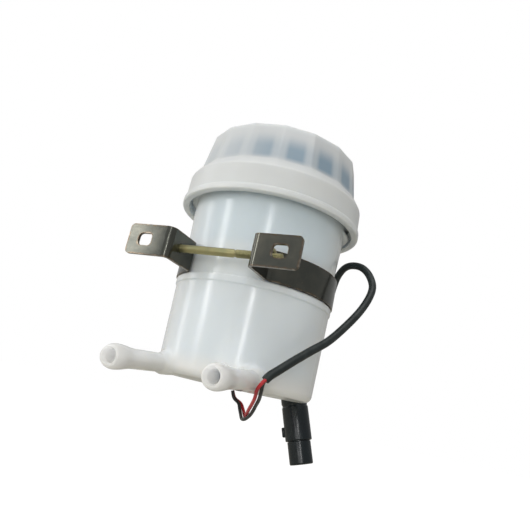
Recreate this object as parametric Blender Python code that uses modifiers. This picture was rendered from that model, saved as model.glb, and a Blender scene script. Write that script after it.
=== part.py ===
"""Remote brake fluid reservoir: moulded tank, screw cap, clamp band, float switch and its lead.

Metres, +Z up. The origin is midway between the bolt slots of the clamp's two tabs, on the tabs' front face.
Everything is modelled about the tank's own axis, foot plane at zero, under one empty that places it.
"""

import math

import bmesh
import bpy
from mathutils import Matrix, Vector

# Clearance between pieces that touch, and how far a cutter runs past what it cuts
GAP = 0.0003
PAST = 0.002

# Tank: its girth follows the seat of the clamp
SEAT_R = 0.0372
SEAT_H = 0.0160
FOOT_INSET = 0.0003
FOOT_R = SEAT_R - FOOT_INSET
FOOT_ROUND = 0.0035
LEDGE_STEP = 0.0008
LEDGE_R = SEAT_R + LEDGE_STEP
LEDGE_Z = 0.0450
LIP_PROUD = 0.0005
LIP_H = 0.0030
NECK_STEP = 0.0010
NECK_R = SEAT_R + NECK_STEP
NECK_Z = 0.0800
RIM_Z = 0.0929
TANK_WALL = 0.0024
FLOOR_T = 0.0024
FLOOR_ROUND = 0.0020

# Hollow post for the level switch, its boss and the low wall that parts the two circuits
POST_R = 0.0045
POST_BORE_R = 0.0029
POST_TOP_Z = 0.0620
POST_CROWN = 0.0016
BOSS_R = 0.0072
BOSS_Z = 0.0200
PARTITION_T = 0.0018
PARTITION_H = 0.0180

# Hose spouts
SPOUT_SPREAD = 0.0224
SPOUT_REACH = 0.0635
SPOUT_ROOT_OUT = 0.00068
SPOUT_ROOT_Y = math.sqrt(FOOT_R ** 2 - SPOUT_SPREAD ** 2) + SPOUT_ROOT_OUT
SPOUT_ROOT_Z = 0.0034
SPOUT_DROOP = math.radians(4.8)
SPOUT_R = 0.0041
SPOUT_BORE_R = 0.0026
SPOUT_FLARE = 0.0012
BEAD_R = 0.00505
BEAD_HALF = 0.0042
NOSE_R = 0.0040

# Cap: its skirt clears the neck and its thread
THREAD_ROOM = 0.0038
SKIRT_BORE_R = NECK_R + THREAD_ROOM
SKIRT_T = 0.0024
SKIRT_R = SKIRT_BORE_R + SKIRT_T
SKIRT_LIP_PROUD = 0.0008
SKIRT_LIP_H = 0.0028
SKIRT_DEPTH = 0.0137
SHOULDER_DROP = 0.0007
GRIP_FLATS = 16
GRIP_PHASE = math.radians(-2.0)
GRIP_RISE = 0.0050
GRIP_INSET = 0.0037
GRIP_FOOT_R = SKIRT_R - GRIP_INSET
GRIP_TAPER = 0.0031
GRIP_TOP_R = GRIP_FOOT_R - GRIP_TAPER
GRIP_H = 0.0191
GRIP_EDGE = 0.0012
GRIP_WALL = 0.0031
CROWN_BORE_R = GRIP_TOP_R - GRIP_WALL
CROWN_T = 0.0024
CROWN_DRAFT = 0.0006
CROWN_RIM = 0.0055
CROWN_RECESS_R = CROWN_BORE_R - CROWN_RIM
CROWN_RECESS_DEPTH = 0.0008
VENT_R = 0.0008

# Cap seal
FLANGE_T = 0.0014
FLANGE_R = NECK_R - GAP
DIAPHRAGM_T = 0.0012
HAT_CLEAR = 0.0020
HAT_R = CROWN_BORE_R - HAT_CLEAR
HAT_H = 0.0160
HAT_ROUND = 0.0030
FOLD_W = 0.0095
DISC_R = HAT_R - FOLD_W
DISC_Z = 0.0050
PLATE_T = 0.0008

# Filler strainer
STRAINER_INSET = 0.0015
STRAINER_FLANGE_R = NECK_R - STRAINER_INSET
STRAINER_FLANGE_W = 0.0062
STRAINER_R = STRAINER_FLANGE_R - STRAINER_FLANGE_W
STRAINER_FLANGE_T = 0.0009
STRAINER_T = 0.0012
STRAINER_DEPTH = 0.0185
STRAINER_WINDOWS = 8
WINDOW_W = 0.0150
WINDOW_H = 0.0130

# Float, magnet and stop
FLOAT_R = 0.0140
FLOAT_H = 0.0130
FLOAT_CLEAR = 0.0005
FLOAT_EDGE = 0.0015
MAGNET_R = 0.0087
MAGNET_H = 0.0050
STOP_R = 0.0080
STOP_T = 0.0008
STOP_Z = 0.0580
STOP_GROOVE = 0.0006
STOP_SLOT = 0.0030

# Switch parts inside the post
PLUG_R = 0.0049
PLUG_H = 0.0064
PLUG_PROUD = 0.0009
CARRIER_TOP_Z = 0.0560
CHANNEL_Z = (0.0220, 0.0480)
REED_R = 0.0011
REED_LENGTH = 0.0140
REED_LEG_R = 0.00035
REED_LEG = 0.0040

# Clamp band
BAND_T = 0.0015
BAND_W = 0.0138
LEG_GAP = 0.0369
TAB_LENGTH = 0.0220
BOLT_OUT = 0.0080
BOLT_Y = SEAT_R + BOLT_OUT
TAB_OUT = 0.0088
TAB_FACE_Y = BOLT_Y + TAB_OUT
TAB_CORNER = 0.0020
ROOT_BEND = 0.0025
TAB_BEND = 0.0020
SLOT_W = 0.0068
SLOT_H = 0.0056
SLOT_ROUND = 0.0018
SLOT_FROM_END = 0.0088

# Clamp screw
BOLT_R = 0.0018
HEAD_FLATS = 0.0070
HEAD_H = 0.0028
NUT_H = 0.0032
BOLT_TAIL = 0.0040
WASHER_R = 0.0044
WASHER_T = 0.0008
SPRING_R = 0.0038
SPRING_T = 0.0010
SPRING_SLOT = 0.0008

# Lead
WIRE_R = 0.00075
SLEEVE_R = 0.0018
WIRE_SPREAD = 0.0009

# Connector, along its own axis from the top of its housing down
CONNECTOR_OUT = 0.0071
CONNECTOR_TOP = (0.01505, FOOT_R + CONNECTOR_OUT, 0.0045)
CONNECTOR_TILT = math.radians(18.9)
HOUSING_R = 0.0069
HOUSING_LENGTH = 0.0240
HOUSING_BORE_R = 0.0057
HOUSING_BORE = 0.0100
HOUSING_NECK_R = 0.0044
LATCH_LENGTH = 0.0050
LATCH_W = 0.0040
LATCH_PROUD = 0.0013
NOSE_SHANK = 0.0085
NOSE_OUT_R = 0.00605
NOSE_OUT = 0.0113
MOUTH_R = 0.0044
MOUTH_DEPTH = 0.0130
PIN_R = 0.0008
PIN_SPREAD = 0.0020
PIN_IN_MOUTH = 0.0045
BARREL_R = 0.0013
BARREL = 0.0045
BOOT_R = 0.0038
BOOT_LENGTH = 0.0070

# Facets round the big turned pieces, the small ones and the tiny ones, and steps along each kind of curve
ROUND_BIG = 48
ROUND_SMALL = 24
ROUND_TINY = 12
FOOT_STEPS = 4
FILLET_STEPS = 2
BEAD_STEPS = 6
STRAP_STEPS = 24
FOLD_STEPS = 4
SLOT_STEPS = 3

# Places that follow from the sizes above
FLANGE_Z = RIM_Z + GAP
PLATE_Z = FLANGE_Z + FLANGE_T + GAP
CAP_SEAT_Z = PLATE_Z + PLATE_T + GAP
BAND_Z = LEDGE_Z + GAP + BAND_W / 2
STRAP_R = SEAT_R + GAP + BAND_T / 2
LEG_X = LEG_GAP / 2 + BAND_T / 2
PLUG_SOCKET_R = PLUG_R + GAP
PLUG_TOP_Z = PLUG_H - PLUG_PROUD
FLOAT_Z = BOSS_Z + GAP

# The lead's route about the tank's axis: two wires from the plug to the sleeve,
# then the sleeve round the tank and over the clamp to the connector, drawn for one seat
ROUTE_SEAT_R = 0.0372
WIRE_ROUTE = [
    (0.0000, 0.0000, -0.0013), (0.0004, 0.0002, -0.0036), (0.0045, 0.0008, -0.0062),
    (0.0085, -0.0030, -0.0102), (0.0130, -0.0102, -0.0121), (0.0182, -0.0184, -0.0098),
    (0.0229, -0.0260, -0.0057), (0.0262, -0.0322, -0.0032), (0.0284, -0.0372, -0.0004),
    (0.0292, -0.0388, 0.0016), (0.0299, -0.0384, 0.0030),
]
TWIST_START = 0.28
TWIST_END = 0.62
SLEEVE_ROUTE = [
    (0.0304, -0.0380, 0.0041), (0.0314, -0.0371, 0.0060), (0.0340, -0.0340, 0.0095),
    (0.0373, -0.0290, 0.0143), (0.0410, -0.0212, 0.0203), (0.0452, -0.0128, 0.0268),
    (0.0492, -0.0040, 0.0358), (0.0528, 0.0030, 0.0449), (0.0549, 0.0080, 0.0532),
    (0.0547, 0.0121, 0.0600), (0.0514, 0.0155, 0.0664), (0.0465, 0.0185, 0.0708),
    (0.0409, 0.0215, 0.0724), (0.0362, 0.0248, 0.0718), (0.0325, 0.0282, 0.0685),
    (0.0304, 0.0306, 0.0635), (0.0290, 0.0322, 0.0560), (0.0272, 0.0340, 0.0460),
    (0.0240, 0.0365, 0.0350), (0.0190, 0.0400, 0.0278), (0.0140, 0.0428, 0.0222),
    (0.0114, 0.0439, 0.0175), (0.0118, 0.0440, 0.0140), (0.0127, 0.0440, 0.0114),
]


def material(name, colour, roughness, metallic=0.0, alpha=1.0):
    """A Principled material with the piece's plain colour."""
    made = bpy.data.materials.new(name)
    made.use_nodes = True
    shader = made.node_tree.nodes["Principled BSDF"]
    shader.inputs["Base Color"].default_value = (*colour, 1.0)
    shader.inputs["Roughness"].default_value = roughness
    shader.inputs["Metallic"].default_value = metallic
    shader.inputs["Alpha"].default_value = alpha
    return made


def place(obj, parts, parent, location=(0, 0, 0), rotation=(0, 0, 0), finish=None):
    """Links an object into its collection, under its parent, at its place."""
    parts.objects.link(obj)
    obj.parent = parent
    obj.location = location
    obj.rotation_euler = rotation
    if finish is not None:
        obj.data.materials.append(finish)
    return obj


def arc(centre, radius, start, end, steps):
    """Points on an arc in the outline's plane, angles in degrees from +X."""
    cx, cz = centre
    angles = [math.radians(start + (end - start) * i / steps) for i in range(steps + 1)]
    return [(cx + radius * math.cos(a), cz + radius * math.sin(a)) for a in angles]


def turned(name, outline, steps, closed=True):
    """A solid turned about Z from an outline of (radius, height) that runs down its outer side."""
    mesh = bpy.data.meshes.new(name)
    count = len(outline)
    edges = [(i, i + 1) for i in range(count - 1)] + ([(count - 1, 0)] if closed else [])
    mesh.from_pydata([(r, 0, z) for r, z in outline], edges, [])
    obj = bpy.data.objects.new(name, mesh)
    screw = obj.modifiers.new("turn", "SCREW")
    screw.axis = "Z"
    screw.angle = math.tau
    screw.steps = steps
    screw.render_steps = steps
    screw.use_merge_vertices = True
    screw.merge_threshold = 0.00001
    return obj


def block(name, size, centre):
    """A box of the given size about a centre."""
    mesh = bpy.data.meshes.new(name)
    box = bmesh.new()
    bmesh.ops.create_cube(box, size=1.0)
    bmesh.ops.scale(box, vec=size, verts=box.verts)
    bmesh.ops.translate(box, vec=centre, verts=box.verts)
    box.to_mesh(mesh)
    box.free()
    return bpy.data.objects.new(name, mesh)


def prism(name, sides, low_r, high_r, depth, start=0.0, phase=0.0):
    """An upright prism or cone from z = start up, with capped ends, turned about Z by its phase."""
    mesh = bpy.data.meshes.new(name)
    body = bmesh.new()
    bmesh.ops.create_cone(body, cap_ends=True, segments=sides, radius1=low_r, radius2=high_r, depth=depth)
    bmesh.ops.rotate(body, matrix=Matrix.Rotation(phase, 3, "Z"), verts=body.verts)
    bmesh.ops.translate(body, vec=(0, 0, start + depth / 2), verts=body.verts)
    body.to_mesh(mesh)
    body.free()
    return bpy.data.objects.new(name, mesh)


def boolean(target, other, operation):
    """Adds an exact Boolean of the target with another object."""
    step = target.modifiers.new(f"{operation.lower()} {other.name}", "BOOLEAN")
    step.operation = operation
    step.solver = "EXACT"
    step.object = other


class Bench:
    """The collections and parents that the pieces are built under."""

    def __init__(self):
        self.parts = bpy.data.collections.new("brake_fluid_reservoir")
        self.cutters = bpy.data.collections.new("cutters")
        for group in (self.parts, self.cutters):
            bpy.context.scene.collection.children.link(group)
        self.axis = bpy.data.objects.new("tank_axis", None)
        self.parts.objects.link(self.axis)
        self.axis.location = (0, TAB_FACE_Y, -BAND_Z)
        self.plug_axis = bpy.data.objects.new("connector_axis", None)
        self.parts.objects.link(self.plug_axis)
        self.plug_axis.parent = self.axis
        self.plug_axis.location = CONNECTOR_TOP
        self.plug_axis.rotation_euler = (0, -CONNECTOR_TILT, 0)

    def piece(self, obj, finish, parent=None, location=(0, 0, 0), rotation=(0, 0, 0)):
        """Places a real piece."""
        return place(obj, self.parts, parent or self.axis, location, rotation, finish)

    def tool(self, obj, parent=None, location=(0, 0, 0), rotation=(0, 0, 0)):
        """Places a cutter or a shape to be joined, which is left out of the model."""
        place(obj, self.cutters, parent or self.axis, location, rotation)
        obj.hide_render = True
        obj.display_type = "WIRE"
        return obj


def inner_radius(height):
    """The tank's inside radius at a height: one straight draft from the floor to the rim."""
    foot = FOOT_R - TANK_WALL
    rim = NECK_R - TANK_WALL
    return foot + (rim - foot) * height / RIM_Z


def tank_outline():
    """The tank's outer side as a solid, from the rim down to the foot."""
    lip_r = LEDGE_R + LIP_PROUD
    seat_top = LEDGE_Z + SEAT_H
    foot = arc((FOOT_R - FOOT_ROUND, FOOT_ROUND), FOOT_ROUND, 0, -90, FOOT_STEPS)
    return [
        (0.0, RIM_Z),
        (NECK_R, RIM_Z),
        (NECK_R, NECK_Z),
        (SEAT_R, seat_top),
        (SEAT_R, LEDGE_Z),
        (lip_r - LIP_PROUD / 2, LEDGE_Z),
        (lip_r, LEDGE_Z - LIP_PROUD / 2),
        (lip_r, LEDGE_Z - LIP_H),
        (LEDGE_R, LEDGE_Z - LIP_H - LIP_PROUD),
        *foot,
        (0.0, 0.0),
    ]


def cavity_outline():
    """The space in the tank, round the post, its clip groove and its boss."""
    step_r = STRAINER_FLANGE_R + GAP
    step_z = RIM_Z - STRAINER_FLANGE_T - GAP
    wall = inner_radius(FLOOR_T + FLOOR_ROUND)
    corner = arc((wall - FLOOR_ROUND, FLOOR_T + FLOOR_ROUND), FLOOR_ROUND, 0, -90, FILLET_STEPS)
    groove_r = POST_R - STOP_GROOVE
    groove_low = STOP_Z - STOP_T / 2 - GAP
    groove_high = STOP_Z + STOP_T / 2 + GAP
    edge = POST_CROWN / 2
    return [
        (0.0, RIM_Z + PAST),
        (step_r, RIM_Z + PAST),
        (step_r, step_z),
        (inner_radius(step_z), step_z),
        *corner,
        (BOSS_R, FLOOR_T),
        (BOSS_R, BOSS_Z),
        (POST_R, BOSS_Z),
        (POST_R, groove_low),
        (groove_r, groove_low),
        (groove_r, groove_high),
        (POST_R, groove_high),
        (POST_R, POST_TOP_Z - edge),
        (POST_R - edge, POST_TOP_Z),
        (0.0, POST_TOP_Z),
    ]


def spout_outline():
    """One spout as a solid along its own axis, from its beaded tip back to the tank's wall."""
    reach = (SPOUT_REACH - SPOUT_ROOT_Y) / math.cos(SPOUT_DROOP)
    tip = reach + BEAD_HALF
    half = math.degrees(math.acos((NOSE_R - SPOUT_R / 2) / (BEAD_R - SPOUT_R / 2)))
    bead = []
    for step in range(BEAD_STEPS + 1):
        angle = math.radians(half - 2 * half * step / BEAD_STEPS)
        lift = SPOUT_R / 2 + (BEAD_R - SPOUT_R / 2) * math.cos(angle)
        bead.append((lift, reach + BEAD_HALF * math.sin(angle) / math.sin(math.radians(half))))
    flare = SPOUT_R + SPOUT_FLARE
    return [
        (0.0, tip),
        *bead,
        (SPOUT_R, reach - BEAD_HALF - 0.5 * SPOUT_FLARE),
        (SPOUT_R, 3 * SPOUT_FLARE),
        (flare, 0.0),
        (flare, -3 * SPOUT_FLARE),
        (0.0, -3 * SPOUT_FLARE),
    ]


def build_tank(bench, finish):
    """The tank moulding: walls, ledge, neck, post, partition and the two spouts."""
    tank = bench.piece(turned("reservoir_body", tank_outline(), ROUND_BIG, closed=False), finish)
    tilt = (math.pi / 2 + SPOUT_DROOP, 0, 0)
    inside = math.sqrt(inner_radius(0) ** 2 - SPOUT_SPREAD ** 2) - SPOUT_ROOT_Y
    half_facet = math.pi / ROUND_SMALL
    bores = []
    for side, word in ((-1, "left"), (1, "right")):
        root = (side * SPOUT_SPREAD, -SPOUT_ROOT_Y, SPOUT_ROOT_Z)
        spout = turned(f"spout_{word}", spout_outline(), ROUND_SMALL, closed=False)
        boolean(tank, bench.tool(spout, location=root, rotation=tilt), "UNION")
        size = (SPOUT_BORE_R, SPOUT_BORE_R, SPOUT_REACH)
        bore = prism(f"spout_bore_{word}", ROUND_SMALL, *size, start=inside - PAST, phase=half_facet)
        bores.append(bench.tool(bore, location=root, rotation=tilt))
    space = bench.tool(turned("tank_space", cavity_outline(), ROUND_BIG, closed=False))
    wall = block("partition", (PARTITION_T, 2 * FOOT_R, PARTITION_H), (0, 0, PARTITION_H / 2))
    boolean(space, bench.tool(wall), "DIFFERENCE")
    boolean(tank, space, "DIFFERENCE")
    for bore in bores:
        boolean(tank, bore, "DIFFERENCE")
    well = [
        (0.0, POST_TOP_Z - POST_CROWN),
        (POST_BORE_R, POST_TOP_Z - POST_CROWN),
        (POST_BORE_R, PLUG_TOP_Z + GAP),
        (PLUG_SOCKET_R, PLUG_TOP_Z + GAP),
        (PLUG_SOCKET_R, -PAST),
        (0.0, -PAST),
    ]
    boolean(tank, bench.tool(turned("switch_well", well, ROUND_SMALL, closed=False)), "DIFFERENCE")
    return tank


def build_cap(bench, finish):
    """The screw cap: faceted grip, shoulder, skirt with its lip, and the hollow underneath."""
    skirt_low = CAP_SEAT_Z - SKIRT_DEPTH
    skirt_top = CAP_SEAT_Z - SHOULDER_DROP
    grip_low = CAP_SEAT_Z + GRIP_RISE
    grip_top = grip_low + GRIP_H
    flat = math.cos(math.pi / GRIP_FLATS)
    shoulder_r = GRIP_FOOT_R * flat
    lip_r = SKIRT_R + SKIRT_LIP_PROUD
    lip_z = skirt_low + SKIRT_LIP_H
    skirt = [
        (0.0, grip_low),
        (shoulder_r, grip_low),
        (SKIRT_R - SKIRT_LIP_PROUD / 2, skirt_top + SKIRT_LIP_PROUD / 4),
        (SKIRT_R, skirt_top - SKIRT_LIP_PROUD / 2),
        (SKIRT_R, lip_z + SKIRT_LIP_PROUD / 2),
        (lip_r, lip_z - SKIRT_LIP_PROUD / 2),
        (lip_r, skirt_low + SKIRT_LIP_PROUD / 2),
        (lip_r - SKIRT_LIP_PROUD / 2, skirt_low),
        (0.0, skirt_low),
    ]
    cap = bench.piece(turned("screw_cap", skirt, ROUND_BIG, closed=False), finish)
    sink = GRIP_EDGE
    sunk_r = GRIP_FOOT_R + (GRIP_FOOT_R - GRIP_TOP_R) * sink / GRIP_H
    grip = prism("grip", GRIP_FLATS, sunk_r, GRIP_TOP_R, GRIP_H + sink, phase=GRIP_PHASE)
    edge = grip.modifiers.new("rounded edges", "BEVEL")
    edge.width = GRIP_EDGE
    edge.segments = 2
    edge.limit_method = "ANGLE"
    edge.angle_limit = math.radians(15)
    boolean(cap, bench.tool(grip, location=(0, 0, grip_low - sink)), "UNION")
    hollow = [
        (0.0, grip_top - CROWN_T),
        (CROWN_BORE_R - CROWN_DRAFT - GRIP_EDGE, grip_top - CROWN_T),
        (CROWN_BORE_R - CROWN_DRAFT, grip_top - CROWN_T - GRIP_EDGE),
        (CROWN_BORE_R, CAP_SEAT_Z),
        (SKIRT_BORE_R, CAP_SEAT_Z),
        (SKIRT_BORE_R, skirt_low - PAST),
        (0.0, skirt_low - PAST),
    ]
    boolean(cap, bench.tool(turned("cap_space", hollow, ROUND_BIG, closed=False)), "DIFFERENCE")
    recess = prism("crown_recess", ROUND_BIG, CROWN_RECESS_R, CROWN_RECESS_R, CROWN_RECESS_DEPTH + PAST)
    boolean(cap, bench.tool(recess, location=(0, 0, grip_top - CROWN_RECESS_DEPTH)), "DIFFERENCE")
    vent = prism("vent", ROUND_TINY, VENT_R, VENT_R, CROWN_T + PAST)
    boolean(cap, bench.tool(vent, location=(0, 0, grip_top - CROWN_T - PAST / 2)), "DIFFERENCE")
    return cap


def build_seal(bench, rubber, plastic):
    """The rubber diaphragm, a hat with a flange on the tank's rim, and the slip plate above the flange."""
    mid = DIAPHRAGM_T / 2
    low = FLANGE_Z
    hat_top = low + HAT_H
    disc = low + DISC_Z
    outer = [
        (FLANGE_R, low + FLANGE_T),
        (FLANGE_R, low),
        (HAT_R - DIAPHRAGM_T - mid, low),
        *arc((HAT_R - HAT_ROUND, hat_top - HAT_ROUND), HAT_ROUND - DIAPHRAGM_T, 0, 90, FILLET_STEPS),
    ]
    fold_r = (HAT_R + DISC_R) / 2 + mid
    outer += [
        (fold_r, hat_top - DIAPHRAGM_T),
        (DISC_R, disc + DIAPHRAGM_T / 2),
        (DISC_R - mid, disc),
        (0.0, disc),
    ]
    inner = [
        (0.0, disc + DIAPHRAGM_T),
        (DISC_R - DIAPHRAGM_T, disc + DIAPHRAGM_T),
        (DISC_R - mid, disc + 2 * DIAPHRAGM_T),
        (fold_r - DIAPHRAGM_T, hat_top - mid),
        (fold_r - mid, hat_top),
        *arc((HAT_R - HAT_ROUND, hat_top - HAT_ROUND), HAT_ROUND, 90, 0, FILLET_STEPS),
        (HAT_R, low + FLANGE_T),
    ]
    outline = inner + outer
    bench.piece(turned("cap_diaphragm", outline, ROUND_BIG, closed=False), rubber)
    plate = [
        (FLANGE_R, PLATE_Z + PLATE_T),
        (FLANGE_R, PLATE_Z),
        (CROWN_BORE_R, PLATE_Z),
        (CROWN_BORE_R, PLATE_Z + PLATE_T),
    ]
    bench.piece(turned("diaphragm_plate", plate, ROUND_BIG), plastic)


def build_strainer(bench, finish):
    """The basket in the filler neck, hung by its flange, with windows in its wall and floor."""
    top = RIM_Z
    under = top - STRAINER_FLANGE_T
    low = top - STRAINER_DEPTH
    wall_in = STRAINER_R - STRAINER_T
    cup = [
        (STRAINER_FLANGE_R, top),
        (STRAINER_FLANGE_R, under),
        (STRAINER_R, under),
        (STRAINER_R - STRAINER_T / 2, low),
        (0.0, low),
        (0.0, low + STRAINER_T),
        (wall_in - STRAINER_T / 2, low + STRAINER_T),
        (wall_in, top),
    ]
    basket = bench.piece(turned("filler_strainer", cup, ROUND_BIG), finish)
    window_z = (low + STRAINER_T + under) / 2
    for index in range(STRAINER_WINDOWS):
        angle = math.tau * (index + 0.5) / STRAINER_WINDOWS
        window = block(f"window_{index}", (4 * STRAINER_T, WINDOW_W, WINDOW_H), (STRAINER_R, 0, window_z))
        boolean(basket, bench.tool(window, rotation=(0, 0, angle)), "DIFFERENCE")
    drain_size = (STRAINER_R / 2, WINDOW_W / 3, 4 * STRAINER_T)
    for index in range(STRAINER_WINDOWS // 2):
        angle = 2 * math.tau * index / STRAINER_WINDOWS
        drain = block(f"drain_{index}", drain_size, (STRAINER_R / 2, 0, low))
        boolean(basket, bench.tool(drain, rotation=(0, 0, angle)), "DIFFERENCE")


def build_float(bench, foam, ferrite, steel):
    """The ring float on the post, the ring magnet let into its top, and the clip that stops it."""
    top = FLOAT_Z + FLOAT_H
    bore = POST_R + FLOAT_CLEAR
    pocket_r = MAGNET_R + GAP
    pocket_z = top - MAGNET_H - GAP
    ring = [
        (FLOAT_R - FLOAT_EDGE, top),
        (FLOAT_R, top - FLOAT_EDGE),
        (FLOAT_R, FLOAT_Z + FLOAT_EDGE),
        (FLOAT_R - FLOAT_EDGE, FLOAT_Z),
        (bore, FLOAT_Z),
        (bore, pocket_z),
        (pocket_r, pocket_z),
        (pocket_r, top),
    ]
    bench.piece(turned("float", ring, ROUND_SMALL), foam)
    magnet = [
        (MAGNET_R, top),
        (MAGNET_R, top - MAGNET_H),
        (bore + GAP, top - MAGNET_H),
        (bore + GAP, top),
    ]
    bench.piece(turned("float_magnet", magnet, ROUND_SMALL), ferrite)
    clip_in = POST_R - STOP_GROOVE + GAP
    clip = [
        (STOP_R, STOP_Z + STOP_T / 2),
        (STOP_R, STOP_Z - STOP_T / 2),
        (clip_in, STOP_Z - STOP_T / 2),
        (clip_in, STOP_Z + STOP_T / 2),
    ]
    stop = bench.piece(turned("float_stop", clip, ROUND_SMALL), steel)
    slot = block("stop_slot", (2 * STOP_R, STOP_SLOT, 4 * STOP_T), (STOP_R, 0, STOP_Z))
    boolean(stop, bench.tool(slot), "DIFFERENCE")


def build_switch(bench, plastic, glass, rubber):
    """The dry side of the switch in the post: reed capsule, the stick that carries it, and the plug below."""
    carrier_r = POST_BORE_R - GAP
    foot = PLUG_TOP_Z + GAP
    stick = prism("switch_carrier", ROUND_SMALL, carrier_r, carrier_r, CARRIER_TOP_Z - foot)
    carrier = bench.piece(stick, plastic, location=(0, 0, foot))
    half = REED_R + GAP
    low, high = CHANNEL_Z
    channel = block("reed_channel", (2 * half, 2 * POST_R, high - low), (0, POST_R - half, (low + high) / 2))
    boolean(carrier, bench.tool(channel), "DIFFERENCE")
    middle = (low + high) / 2
    end = REED_LENGTH / 2
    capsule = [
        (0.0, middle + end + REED_LEG),
        (REED_LEG_R, middle + end + REED_LEG),
        (REED_LEG_R, middle + end),
        *arc((0.0, middle + end - REED_R), REED_R, 60, 0, 3),
        *arc((0.0, middle - end + REED_R), REED_R, 0, -60, 3),
        (REED_LEG_R, middle - end),
        (REED_LEG_R, middle - end - REED_LEG),
        (0.0, middle - end - REED_LEG),
    ]
    bench.piece(turned("reed_switch", capsule, ROUND_TINY, closed=False), glass)
    plug = [
        (0.0, PLUG_TOP_Z),
        (PLUG_R, PLUG_TOP_Z),
        (PLUG_R, -PLUG_PROUD / 3),
        (PLUG_R - PLUG_PROUD, -PLUG_PROUD),
        (0.0, -PLUG_PROUD),
    ]
    bench.piece(turned("post_plug", plug, ROUND_SMALL, closed=False), rubber)


def strip_stations():
    """Half of the clamp's folded strip, back to tab end: its middle line with the half width there."""
    half = BAND_W / 2
    root = ROOT_BEND + BAND_T / 2
    bend = TAB_BEND + BAND_T / 2
    root_x = LEG_X + root
    root_y = -math.sqrt((STRAP_R + root) ** 2 - root_x ** 2)
    meet = math.degrees(math.atan2(root_y, root_x))
    tab_y = -TAB_FACE_Y + BAND_T / 2
    end_x = LEG_GAP / 2 + TAB_LENGTH
    strap = arc((0, 0), STRAP_R, 90, meet, STRAP_STEPS)
    turn = arc((root_x, root_y), root, meet + 180, 180, FOLD_STEPS)
    fold = arc((LEG_X + bend, tab_y + bend), bend, 180, 270, FOLD_STEPS)
    line = strap + turn[1:] + fold
    stations = [(x, y, half) for x, y in line]
    for step in range(FOLD_STEPS + 1):
        angle = math.radians(90 * step / FOLD_STEPS)
        x = end_x - TAB_CORNER + TAB_CORNER * math.sin(angle)
        stations.append((x, tab_y, half - TAB_CORNER + TAB_CORNER * math.cos(angle)))
    return stations


def slot_cutter(name, width, height, radius, depth):
    """A cutter for a slot with rounded corners, through the XZ plane."""
    mesh = bpy.data.meshes.new(name)
    shape = bmesh.new()
    across, up = width / 2 - radius, height / 2 - radius
    outline = []
    for sx, sz, turn in ((1, -1, -90), (1, 1, 0), (-1, 1, 90), (-1, -1, 180)):
        outline += arc((sx * across, sz * up), radius, turn, turn + 90, SLOT_STEPS)
    face = shape.faces.new([shape.verts.new((x, -depth / 2, z)) for x, z in outline])
    far = bmesh.ops.extrude_face_region(shape, geom=[face])["geom"]
    bmesh.ops.translate(shape, vec=(0, depth, 0), verts=[v for v in far if isinstance(v, bmesh.types.BMVert)])
    bmesh.ops.recalc_face_normals(shape, faces=shape.faces)
    shape.to_mesh(mesh)
    shape.free()
    return bpy.data.objects.new(name, mesh)


def build_band(bench, finish):
    """The clamp: one strip folded into strap, legs and slotted tabs, mirrored at its middle."""
    stations = strip_stations()
    mesh = bpy.data.meshes.new("clamp_band")
    points = []
    for x, y, half in stations:
        points += [(x, y, BAND_Z - half), (x, y, BAND_Z + half)]
    faces = [(2 * i, 2 * i + 1, 2 * i + 3, 2 * i + 2) for i in range(len(stations) - 1)]
    mesh.from_pydata(points, [], faces)
    band = bench.piece(bpy.data.objects.new("clamp_band", mesh), finish)
    mirror = band.modifiers.new("other half", "MIRROR")
    mirror.merge_threshold = 0.00001
    skin = band.modifiers.new("sheet", "SOLIDIFY")
    skin.thickness = BAND_T
    skin.offset = 0.0
    skin.use_even_offset = True
    slot_x = LEG_GAP / 2 + TAB_LENGTH - SLOT_FROM_END
    for side, word in ((-1, "left"), (1, "right")):
        slot = slot_cutter(f"slot_{word}", SLOT_W, SLOT_H, SLOT_ROUND, 6 * BAND_T)
        boolean(band, bench.tool(slot, location=(side * slot_x, -TAB_FACE_Y, BAND_Z)), "DIFFERENCE")
        hole = prism(f"bolt_hole_{word}", ROUND_TINY, BOLT_R + GAP, BOLT_R + GAP, 6 * BAND_T)
        start = (side * LEG_X - 3 * BAND_T, -BOLT_Y, BAND_Z)
        boolean(band, bench.tool(hole, location=start, rotation=(0, math.pi / 2, 0)), "DIFFERENCE")


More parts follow.
